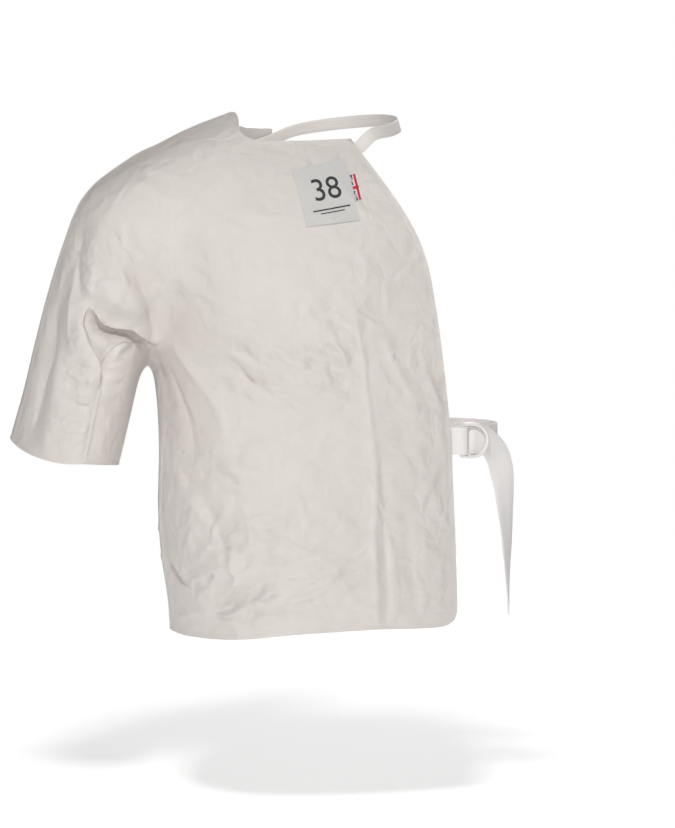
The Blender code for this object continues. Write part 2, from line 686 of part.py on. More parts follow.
def back_panel():
    """The part back, which covers the right shoulder blade and side, with the back half of the sleeve."""
    armhole = seam(BACK_ARMHOLE, CELLS["back_armhole"])
    side = seam_in_two(SIDE_SEAM, SIDE_POINT, CELLS["upper_side"], CELLS["lower_side"])
    overarm = seam_in_two(OVERARM_SEAM, OVERARM_POINT, CELLS["upper_sleeve"], CELLS["lower_sleeve"])
    underarm = seam_in_two(UNDERARM_SEAM, UNDERARM_POINT, CELLS["upper_sleeve"], CELLS["lower_sleeve"])
    neckline = seam(BACK_NECKLINE, CELLS["back_of_neck"])
    body = patch(
        np.vstack([seam(SHOULDER_SEAM, CELLS["shoulder"]), neckline[1:]]),
        seam(BACK_HEM, CELLS["shoulder"] + CELLS["back_of_neck"]),
        np.vstack([armhole, side[1:]]),
        seam(BACK_EDGE, CELLS["back_armhole"] + len(side) - 1),
    )
    sleeve = patch(armhole, seam(CUFF_BACK, CELLS["back_armhole"]), overarm, underarm)
    return Panel([body, sleeve])


def ribbon(name, route, width, thick, material):
    """A strip of webbing along a route whose rows have a point and the direction of the strip's width."""
    middle = route[:, :3]
    along = unit(np.gradient(middle, axis=0))
    across = route[:, 3:]
    across = unit(across - (across * along).sum(1)[:, None] * along)
    out = np.cross(across, along)
    corners = [(-0.5, -0.5), (0.5, -0.5), (0.5, 0.5), (-0.5, 0.5)]
    points = np.concatenate([middle + u * width * across + v * thick * out for u, v in corners])
    count = len(middle)
    faces = []
    for side in range(4):
        near, far = side * count, (side + 1) % 4 * count
        for i in range(count - 1):
            faces.append((near + i, near + i + 1, far + i + 1, far + i))
    faces.append((0, count, 2 * count, 3 * count))
    faces.append((4 * count - 1, 3 * count - 1, 2 * count - 1, count - 1))
    made = new_object(name, points, faces, material)
    return made


def ring(name, place, level, tilt, material):
    """A D ring whose straight bar stands upright: level is its height over the tab's seat at the bar."""
    half = (RING_OPENING + RING_WIRE) / 2
    corner = 3.0
    turn = np.radians(np.linspace(0, 90, 4))
    outline = [(0.0, 0.0)]
    outline += [(corner * (1 - np.cos(t)), half - corner * (1 - np.sin(t))) for t in turn]
    outline += [(RING_STRAIGHT * 0.7, half)]
    bend = np.radians(np.linspace(90, 0, 9))
    reach = RING_DEPTH - RING_STRAIGHT
    outline += [(RING_STRAIGHT + reach * np.cos(t), half * np.sin(t)) for t in bend]
    outline += [(s, -h) for s, h in reversed(outline[1:-1])]
    outline = np.array(outline)
    centre = np.array([place(s, level + tilt * s, h) for s, h in outline])
    along = unit(np.roll(centre, -1, axis=0) - np.roll(centre, 1, axis=0))
    face_out = unit(np.cross(centre[5] - centre[0], centre[-5] - centre[0]))
    side = np.cross(along, face_out)
    points, faces = [], []
    for k in range(RING_SIDES):
        t = 2 * np.pi * (k + 0.5) / RING_SIDES
        points.append(centre + RING_WIRE / 2 * (np.cos(t) * side + np.sin(t) * face_out))
    count = len(centre)
    for k in range(RING_SIDES):
        near, far = k * count, (k + 1) % RING_SIDES * count
        for i in range(count):
            j = (i + 1) % count
            faces.append((near + i, near + j, far + j, far + i))
    new_object(name, np.concatenate(points), faces, material)


def outward(name):
    """Turns a closed mesh's faces outwards if they face inwards."""
    mesh = bpy.data.objects[name].data
    mesh.calc_loop_triangles()
    volume = 0.0
    for triangle in mesh.loop_triangles:
        a, b, c = (mesh.vertices[i].co for i in triangle.vertices)
        volume += a.dot(b.cross(c))
    if volume < 0:
        mesh.flip_normals()


def fastening(front, webbing, plastic):
    """The tab on the front's left edge, its two rings and the waist strap that they hold."""
    edge = np.array(front.edge_at(WAIST_HEIGHT))
    up = (0.0, 0.0, 1.0)
    turn = np.radians(RING_TURN)
    along = np.array((np.cos(turn), np.sin(turn), 0.0))
    out = np.array((np.sin(turn), -np.cos(turn), 0.0))
    seat = WALL + 2 * CLEARANCE + TAB_EASE + 2 * WEBBING_THICK
    start = edge - seat * out + TAB_REACH * along

    def place(s, n, h=0.0):
        return start + s * along + n * out + np.array((0.0, 0.0, h))

    # The tab: under the panel, round both bars and back under the panel
    low = WEBBING_THICK / 2
    lower_bar = WEBBING_THICK + CLEARANCE + RING_WIRE / 2
    upper_bar = lower_bar + RING_WIRE + CLEARANCE
    high = upper_bar + RING_WIRE / 2 + CLEARANCE + WEBBING_THICK / 2
    back = low + WEBBING_THICK + CLEARANCE
    nose = [
        (0.5 * (high - low) * np.cos(t), 0.5 * (high + low) + 0.5 * (high - low) * np.sin(t))
        for t in np.radians(np.linspace(-90, 90, 9))
    ]
    folded = [(-TAB_REACH + 1.0, low), (-5.0, low)] + nose
    folded += [(-2.4, high - 0.5), (-5.2, high - 2.6), (-7.8, high - 5.0), (-10.0, back + 0.9)]
    folded += [(-TAB_REACH + 1.0, back + 0.1)]
    loop = [place(s, n) for s, n in folded]
    left_of_edge = [edge - np.array((distance, 0.0, 0.0)) for distance in (2.0, 8.0, TAB_UNDER_PANEL)]
    upper_layer = beneath_cloth(left_of_edge, WALL + CLEARANCE + TAB_EASE + WEBBING_THICK / 2)
    lower_layer = beneath_cloth(left_of_edge, WALL + 2 * CLEARANCE + TAB_EASE + 1.5 * WEBBING_THICK)
    route = np.vstack([lower_layer[::-1], loop, upper_layer])
    route = np.column_stack([route, np.tile(up, (len(route), 1))])
    ribbon("ring_tab", route, WEBBING_WIDTH, WEBBING_THICK, webbing)
    ring("ring_lower", place, lower_bar, 0.0, plastic)
    ring("ring_upper", place, upper_bar, 0.15, plastic)

    # The strap: up through the lower ring and back out between the two rings
    rise = lower_bar + RING_WIRE / 2 + CLEARANCE + WEBBING_THICK / 2
    radius = (rise - low) / 2
    loop = [(11.5 - radius * np.cos(t), low + radius + radius * np.sin(t))
            for t in np.radians(np.linspace(-90, 90, 9))]
    under = [(RING_DEPTH + 3.0, low), (RING_DEPTH - 4.0, low)]
    over = [(RING_DEPTH - 6.0, rise + 0.1), (RING_DEPTH + 1.5, rise + 0.4)]
    threaded = np.array([(*place(s, n), *up) for s, n in under + loop + over])
    angles = np.linspace(52.0, 180.0 + STRAP_END_ANGLE, 40)
    round_waist = []
    for across, forward in zip(np.sin(np.radians(angles)), np.cos(np.radians(angles))):
        depth = WAIST_FRONT if forward > 0 else WAIST_BACK
        reach = radius_of(across, forward, WAIST_HALF_WIDTH, depth, TORSO_ROUNDNESS)
        round_waist.append((across * reach, -forward * reach, WAIST_HEIGHT))
    round_waist = np.array(round_waist)
    sewn = beneath_cloth(round_waist, WALL + CLEARANCE + TAPE_EASE + WEBBING_THICK / 2)
    share = np.clip((angles - 180.0) / (STRAP_MEETS_ANGLE - 180.0), 0, 1)[:, None]
    share = share * share * (3 - 2 * share)
    round_waist = (1 - share) * round_waist + share * sewn
    round_waist = np.column_stack([round_waist, np.tile(up, (len(round_waist), 1))])
    free = FREE_END.copy()
    free[:, 3:] = FREE_END[:, 3:4] * FREE_END_RIGHT + FREE_END[:, 4:5] * FREE_END_FORWARD
    free[:, 5] += FREE_END[:, 5]
    free = smooth_route(np.vstack([threaded[-1:], free]), FREE_END_CELLS)
    route = np.vstack([round_waist[::-1], threaded[:-1], free])
    ribbon("waist_strap", route, WEBBING_WIDTH, WEBBING_THICK, webbing)


def neck_tape(webbing):
    """The tape from under the front's neck corner, round the neck, to under the back's nape corner."""
    depth = WALL + CLEARANCE + TAPE_EASE + NECK_TAPE_THICK / 2
    sewn = []
    for ends in (NECK_TAPE_FRONT, NECK_TAPE_BACK):
        middle = beneath_cloth(ends, depth)
        slope = unit(cloth_slope(middle))
        along = unit(np.gradient(middle, axis=0))
        across = np.cross(along, slope)
        across *= np.sign(across[:, 2:3])
        sewn.append(np.column_stack([middle, across]))
    route = smooth_route(np.vstack([sewn[0], NECK_ROUTE, sewn[1]]), NECK_TAPE_CELLS)
    ribbon("neck_tape", route, NECK_TAPE_WIDTH, NECK_TAPE_THICK, webbing)


def clear_scene():
    for old in list(bpy.data.objects):
        bpy.data.objects.remove(old)


def finish(name, colour, roughness, metallic=0.0):
    made = bpy.data.materials.new(name)
    made.use_nodes = True
    shader = made.node_tree.nodes["Principled BSDF"]
    shader.inputs["Base Color"].default_value = (*colour, 1.0)
    shader.inputs["Roughness"].default_value = roughness
    shader.inputs["Metallic"].default_value = metallic
    return made


def main():
    clear_scene()
    cloth = finish("white_cloth", (0.80, 0.78, 0.75), 0.55)
    webbing = finish("white_webbing", (0.82, 0.81, 0.79), 0.6)
    plastic = finish("ivory_plastic", (0.80, 0.79, 0.75), 0.3)
    woven = finish("woven_label", (0.62, 0.62, 0.60), 0.6)
    flag = finish("flag_ribbon", (0.70, 0.08, 0.10), 0.6)
    front = front_panel()
    back = back_panel()
    front.build("front", cloth)
    back.build("back", cloth)
    fastening(front, webbing, plastic)
    neck_tape(webbing)
    front.patch_on("label", LABEL_CORNERS, 6, 7, LABEL_LIFT, LABEL_THICK, woven)
    front.patch_on("flag_tab", FLAG_CORNERS, 1, 4, LABEL_LIFT, LABEL_THICK, flag)
    for made in bpy.data.objects:
        outward(made.name)


main()
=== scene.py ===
import math

import bmesh
import bpy
import numpy as np
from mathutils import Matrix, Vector
from mathutils.bvhtree import BVHTree
from mathutils.kdtree import KDTree


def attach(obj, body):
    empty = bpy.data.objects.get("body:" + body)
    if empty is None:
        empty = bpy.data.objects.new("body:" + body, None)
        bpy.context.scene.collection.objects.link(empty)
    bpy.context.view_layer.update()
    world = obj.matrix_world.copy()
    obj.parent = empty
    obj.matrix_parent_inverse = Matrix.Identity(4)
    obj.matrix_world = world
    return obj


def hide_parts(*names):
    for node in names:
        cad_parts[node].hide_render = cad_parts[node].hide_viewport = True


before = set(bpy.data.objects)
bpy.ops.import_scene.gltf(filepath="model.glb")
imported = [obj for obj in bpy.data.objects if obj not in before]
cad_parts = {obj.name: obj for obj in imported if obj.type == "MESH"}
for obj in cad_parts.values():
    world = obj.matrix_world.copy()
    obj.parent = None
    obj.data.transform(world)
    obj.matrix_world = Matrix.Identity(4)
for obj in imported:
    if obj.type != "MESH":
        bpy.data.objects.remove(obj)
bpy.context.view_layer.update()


# FRONT. The front of the half jacket is cut in one with the front half of the short sleeve, from
# a firm off-white cloth with a soft satin face. It is worn, so it creases where the arm and the
# strap's tab draw on it, and it is crumpled all over from folding.
MM = 0.001
CLOTH_WALL = 2.0 * MM
WELD = 0.00004  # corners of a solid that lie closer than this are one
SAME_LENGTH = 0.00001  # an edge within this of a wall's thickness crosses the wall


class Wire:
    """A shader socket that can be used in sums."""

    tree = None

    def __init__(self, socket):
        self.socket = socket

    @classmethod
    def node(cls, kind, settings=None, **inputs):
        """Adds a node. Its settings come first, then the values or wires of its inputs by name."""
        made = cls.tree.nodes.new(kind)
        for key, value in (settings or {}).items():
            setattr(made, key, value)
        for key, value in inputs.items():
            socket = made.inputs[int(key[1:])] if key[0] == "_" else made.inputs[key.replace("_", " ")]
            if isinstance(value, Wire):
                cls.tree.links.new(value.socket, socket)
            else:
                socket.default_value = value
        return made

    def _maths(self, operation, other, swap=False):
        first, second = (other, self) if swap else (self, other)
        return Wire(Wire.node("ShaderNodeMath", {"operation": operation}, _0=first, _1=second).outputs[0])

    def __add__(self, other):
        return self._maths("ADD", other)

    def __sub__(self, other):
        return self._maths("SUBTRACT", other)

    def __rsub__(self, other):
        return self._maths("SUBTRACT", other, True)

    def __mul__(self, other):
        return self._maths("MULTIPLY", other)

    __radd__ = __add__
    __rmul__ = __mul__

    def above(self, other):
        return self._maths("GREATER_THAN", other)

    def sine(self):
        return self._maths("SINE", 0.0)


def finish(name, roughness, sheen=0.0, specular=0.5):
    """A new material with its shader. Constants go straight on the shader's own sockets."""
    material = bpy.data.materials.new(name)
    material.use_nodes = True
    Wire.tree = material.node_tree
    shader = material.node_tree.nodes["Principled BSDF"]
    shader.inputs["Roughness"].default_value = roughness
    shader.inputs["Sheen Weight"].default_value = sheen
    shader.inputs["Sheen Roughness"].default_value = 0.45
    shader.inputs["Specular IOR Level"].default_value = specular
    return material, shader


def feed(shader, socket, wire):
    Wire.tree.links.new(wire.socket, shader.inputs[socket])


def mixed(share, first, second):
    """A colour between two, by a share that may be a wire."""
    node = Wire.node("ShaderNodeMix", {"data_type": "RGBA"}, _0=share, _6=first, _7=second)
    return Wire(node.outputs[2])


def noise(where, scale, detail=3.0, roughness=0.5):
    inputs = {"Vector": where, "Scale": scale, "Detail": detail, "Roughness": roughness}
    return Wire(Wire.node("ShaderNodeTexNoise", None, **inputs).outputs[0])


def on_object():
    """The place on the piece itself, for noise."""
    return Wire(Wire.node("ShaderNodeTexCoord").outputs["Object"])


def on_cut():
    """How far across and how far up the flat cut, as two wires."""
    parts = Wire.node("ShaderNodeSeparateXYZ", None, Vector=Wire(Wire.node("ShaderNodeUVMap").outputs[0]))
    return Wire(parts.outputs[0]), Wire(parts.outputs[1])


def bumped(shader, height, distance, strength=1.0):
    made = Wire.node("ShaderNodeBump", None, Height=height, Distance=distance, Strength=strength)
    feed(shader, "Normal", Wire(made.outputs[0]))


def cloth_finish():
    """Close plain weave with a satin face: threads 0.55 mm apart, faint slubs and fine crumpling."""
    material, shader = finish("off_white_satin", 0.46, 0.18, 0.8)
    across, up = on_cut()
    place = on_object()
    thread = 2 * math.pi / 0.00055
    warp, weft = (across * thread).sine(), (up * thread).sine()
    mottle = noise(place, 16.0, 4.0, 0.6)
    slub = noise(place, 90.0, 2.0)
    colour = mixed(mottle, (0.70, 0.640, 0.598, 1), (0.785, 0.728, 0.685, 1))
    feed(shader, "Base Color", mixed(slub * 0.25, colour, (0.80, 0.77, 0.745, 1)))
    feed(shader, "Roughness", 0.22 + 0.22 * mottle)
    stretch = Wire.node("ShaderNodeMix", {"data_type": "VECTOR"}, _0=0.035)
    straight, waved = stretch.inputs[4], stretch.inputs[5]
    Wire.tree.links.new(place.socket, straight)
    warped = Wire.node("ShaderNodeTexNoise", None, Vector=place, Scale=22.0, Detail=2.0)
    Wire.tree.links.new(warped.outputs["Color"], waved)
    bent = Wire(stretch.outputs[1])
    facets = Wire.node("ShaderNodeTexVoronoi", {"feature": "DISTANCE_TO_EDGE"}, Vector=bent, Scale=46.0)
    small = Wire.node("ShaderNodeTexVoronoi", {"feature": "F1"}, Vector=bent, Scale=85.0)
    relief = 0.05 * (warp * weft) + 0.8 * noise(place, 60.0, 4.0, 0.55)
    relief = relief + 1.7 * Wire(facets.outputs["Distance"]) + 0.5 * Wire(small.outputs["Distance"])
    bumped(shader, relief, 0.0014, 0.8)
    return material


SATIN = cloth_finish()


def merged_copy(node, name):
    """A copy of a solid with its loose triangles joined, ready to be shaped."""
    bpy.ops.object.select_all(action="DESELECT")
    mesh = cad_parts[node].data.copy()
    made = bpy.data.objects.new(name, mesh)
    bpy.context.scene.collection.objects.link(made)
    bpy.context.view_layer.objects.active = made
    made.select_set(True)
    bpy.ops.object.mode_set(mode="EDIT")
    bpy.ops.mesh.select_all(action="SELECT")
    bpy.ops.mesh.remove_doubles(threshold=WELD)
    bpy.ops.object.mode_set(mode="OBJECT")
    mesh.materials.clear()
    return made


def outer_skin(node, name):
    """The outer face of a cloth solid alone, in four-sided cells."""
    made = merged_copy(node, name)
    shape = bmesh.new()
    shape.from_mesh(made.data)
    rim = [f for f in shape.faces if any(abs(e.calc_length() - CLOTH_WALL) < SAME_LENGTH for e in f.edges)]
    bmesh.ops.delete(shape, geom=rim, context="FACES")
    shape.faces.ensure_lookup_table()
    skins, seen = [], set()
    for face in shape.faces:
        if face.index in seen:
            continue
        skin, waiting = [], [face]
        seen.add(face.index)
        while waiting:
            current = waiting.pop()
            skin.append(current)
            for edge in current.edges:
                for other in edge.link_faces:
                    if other.index not in seen:
                        seen.add(other.index)
                        waiting.append(other)
        skins.append(skin)
    skins.sort(key=lambda skin: -sum(f.calc_area() for f in skin))
    for skin in skins[1:]:
        bmesh.ops.delete(shape, geom=skin, context="FACES")
    shape.to_mesh(made.data)
    shape.free()
    bpy.ops.object.mode_set(mode="EDIT")
    bpy.ops.mesh.select_all(action="SELECT")
    bpy.ops.mesh.tris_convert_to_quads(face_threshold=math.radians(70), shape_threshold=math.radians(70))
    bpy.ops.uv.unwrap(method="ANGLE_BASED", margin=0.0)
    bpy.ops.object.mode_set(mode="OBJECT")
    return made


def cut_to_size(piece):
    """Turns and scales the flat cut so that it is in metres and hangs straight down, and gives its size."""
    mesh = piece.data
    uv = np.empty(len(mesh.loops) * 2)
    mesh.uv_layers.active.data.foreach_get("uv", uv)
    uv = uv.reshape(-1, 2)
    corner = np.empty(len(mesh.loops), int)
    mesh.loops.foreach_get("vertex_index", corner)
    points = np.array([v.co for v in mesh.vertices])
    area = sum(p.area for p in mesh.polygons)
    flat = 0.0
    for p in mesh.polygons:
        u, v = uv[list(p.loop_indices)].T
        flat += 0.5 * abs(np.dot(u, np.roll(v, 1)) - np.dot(v, np.roll(u, 1)))
    uv *= math.sqrt(area / flat)
    fit, *_ = np.linalg.lstsq(np.column_stack([uv, np.ones(len(uv))]), points[corner, 2], rcond=None)
    up = fit[:2] / np.linalg.norm(fit[:2])
    uv = np.column_stack([uv @ (up[1], -up[0]), uv @ up])
    uv -= uv.min(0)
    mesh.uv_layers.active.data.foreach_set("uv", uv.ravel())
    return uv.max(0), area


def refined(piece, levels):
    bpy.context.view_layer.objects.active = piece
    modifier = piece.modifiers.new("finer", "SUBSURF")
    modifier.levels = modifier.render_levels = levels
    modifier.boundary_smooth = "PRESERVE_CORNERS"
    bpy.ops.object.modifier_apply(modifier="finer")


def halved(piece, wanted):
    """Halves the cells whose middles are wanted, where the cloth is crumpled or turns sharply."""
    bpy.ops.object.mode_set(mode="EDIT")
    bpy.ops.mesh.select_mode(type="FACE")
    bpy.ops.mesh.select_all(action="DESELECT")
    bpy.ops.object.mode_set(mode="OBJECT")
    for face in piece.data.polygons:
        face.select = wanted(face.center / MM)
    bpy.ops.object.mode_set(mode="EDIT")
    bpy.ops.mesh.subdivide(number_cuts=1)
    bpy.ops.object.mode_set(mode="OBJECT")


def near_line(line, reach):
    """A test for places within reach of a line, in millimetres."""
    line = [Vector(p) for p in line]
    return lambda place: min((place - p).length for p in line) < reach


def in_boxes(boxes):
    """A test for places in boxes given as left, right, bottom and top, on the front or back."""
    return lambda place: any(a < place.x < b and c < place.z < d for a, b, c, d in boxes)


def shape_of(piece):
    """Points and normals of a mesh as arrays."""
    mesh = piece.data
    points = np.empty(len(mesh.vertices) * 3)
    normals = np.empty(len(mesh.vertices) * 3)
    mesh.vertices.foreach_get("co", points)
    mesh.vertex_normals.foreach_get("vector", normals)
    return points.reshape(-1, 3), normals.reshape(-1, 3)


def along_line(points, line, reach):
    """Which points are within reach of a line, how far from it they are, and how far along it."""
    low, high = line.min(0) - reach, line.max(0) + reach
    close = np.nonzero(((points > low) & (points < high)).all(1))[0]
    near, share = np.full(len(close), 9.0), np.zeros(len(close))
    for i in range(len(line) - 1):
        along = line[i + 1] - line[i]
        t = np.clip(((points[close] - line[i]) @ along) / (along @ along), 0, 1)
        gap = np.linalg.norm(points[close] - line[i] - t[:, None] * along, axis=1)
        closer = gap < near
        near[closer] = gap[closer]
        share[closer] = (i + t[closer]) / (len(line) - 1)
    return close, near, share


def curved(line):
    """A smooth line through a few points given in millimetres."""
    line = np.array(line, float)
    at = np.r_[0, np.cumsum(np.linalg.norm(np.diff(line, axis=0), axis=1))]
    slopes = np.gradient(line, at, axis=0)
    fine = np.linspace(0, at[-1], 6 * (len(line) - 1) + 1)
    i = np.clip(np.searchsorted(at, fine) - 1, 0, len(at) - 2)
    span = (at[i + 1] - at[i])[:, None]
    t = ((fine - at[i]) / (at[i + 1] - at[i]))[:, None]
    kept = line[i] * (1 + 2 * t) * (1 - t) ** 2 + slopes[i] * span * t * (1 - t) ** 2
    return (kept + line[i + 1] * t * t * (3 - 2 * t) + slopes[i + 1] * span * t * t * (t - 1)) * MM


def crease(piece, rows, steady):
    """Lifts soft ridges (out above 0) and troughs along lines, fading out at both ends."""
    points, normals = shape_of(piece)
    normals[steady[0]] = steady[1]
    height = np.zeros(len(points))
    for out, half_width, line in rows:
        close, near, share = along_line(points, curved(line), 3 * half_width * MM)
        fade = np.clip(4 * share * (1 - share), 0, 1) ** 0.6
        height[close] += out * MM * fade * np.exp(-((near / (half_width * MM)) ** 1.2))
    points += height[:, None] * normals
    piece.data.vertices.foreach_set("co", points.ravel())
    piece.data.update()


def tuck(piece, steady, line, toward, out, into, drop, reach_over, reach_under, ends):
    """Folds the cloth on one side of a line out and over the cloth on its other side, which sinks."""
    points, normals = shape_of(piece)
    normals[steady[0]] = steady[1]
    line = curved(line)
    close, near, share = along_line(points, line, 3 * max(reach_over, reach_under) * MM)
    at = np.clip((share * (len(line) - 1)).astype(int), 0, len(line) - 2)
    along = line[at + 1] - line[at]
    foot = line[at] + ((share * (len(line) - 1) - at)[:, None]) * along
    up = np.cross(along, normals[close])
    up /= np.linalg.norm(up, axis=1, keepdims=True)
    up *= np.sign(up @ np.array(toward, float))[:, None]
    side = ((points[close] - foot) * up).sum(1)
    fade = np.clip(share / ends[0], 0, 1) * np.clip((1 - share) / ends[1], 0, 1)
    fade = fade * fade * (3 - 2 * fade)
    over = 0.5 + 0.5 * np.tanh(side / (0.7 * MM))
    above = over * np.exp(-((near / (reach_over * MM)) ** 2)) * fade
    below = (1 - over) * np.exp(-((near / (reach_under * MM)) ** 2)) * fade
    lift = (out * above - into * below)[:, None] * normals[close]
    points[close] += MM * (lift - (drop * above)[:, None] * up)
    piece.data.vertices.foreach_set("co", points.ravel())
    piece.data.update()


def surface_of(piece):
    """A mesh's surface, for casting rays onto it."""
    mesh = piece.data
    return BVHTree.FromPolygons([v.co for v in mesh.vertices], [p.vertices for p in mesh.polygons])


def crumples(piece, fields, seed, from_front=True):
    """Rows of short uneven creases over fields, from a seeded draw, each laid on the cloth there."""
    draw = np.random.default_rng(seed)
    surface = surface_of(piece)
    side = -1.0 if from_front else 1.0
    made = []
    for x, z, spread_x, spread_z, count, slant, turn, length, out, half_width in fields:
        for _ in range(count):
            middle = np.array((x + spread_x * draw.uniform(-1, 1), z + spread_z * draw.uniform(-1, 1)))
            angle = math.radians(slant + turn * draw.normal())
            half = 0.5 * length * draw.uniform(0.5, 1.5) * np.array((math.cos(angle), math.sin(angle)))
            bend = middle + 0.1 * length * draw.normal(size=2)
            line = []
            for place in (middle - half, bend, middle + half):
                met = surface.ray_cast((place[0] * MM, 0.4 * side, place[1] * MM), (0, -side, 0))[0]
                if met is not None:
                    line.append(tuple(met / MM))
            height = out * draw.uniform(0.4, 1.2) * draw.choice((1, 1, -0.8))
            if len(line) == 3 and abs(line[0][1] - line[2][1]) < 1.2 * length:
                made.append((height, half_width * draw.uniform(0.6, 1.5), line))
    return made


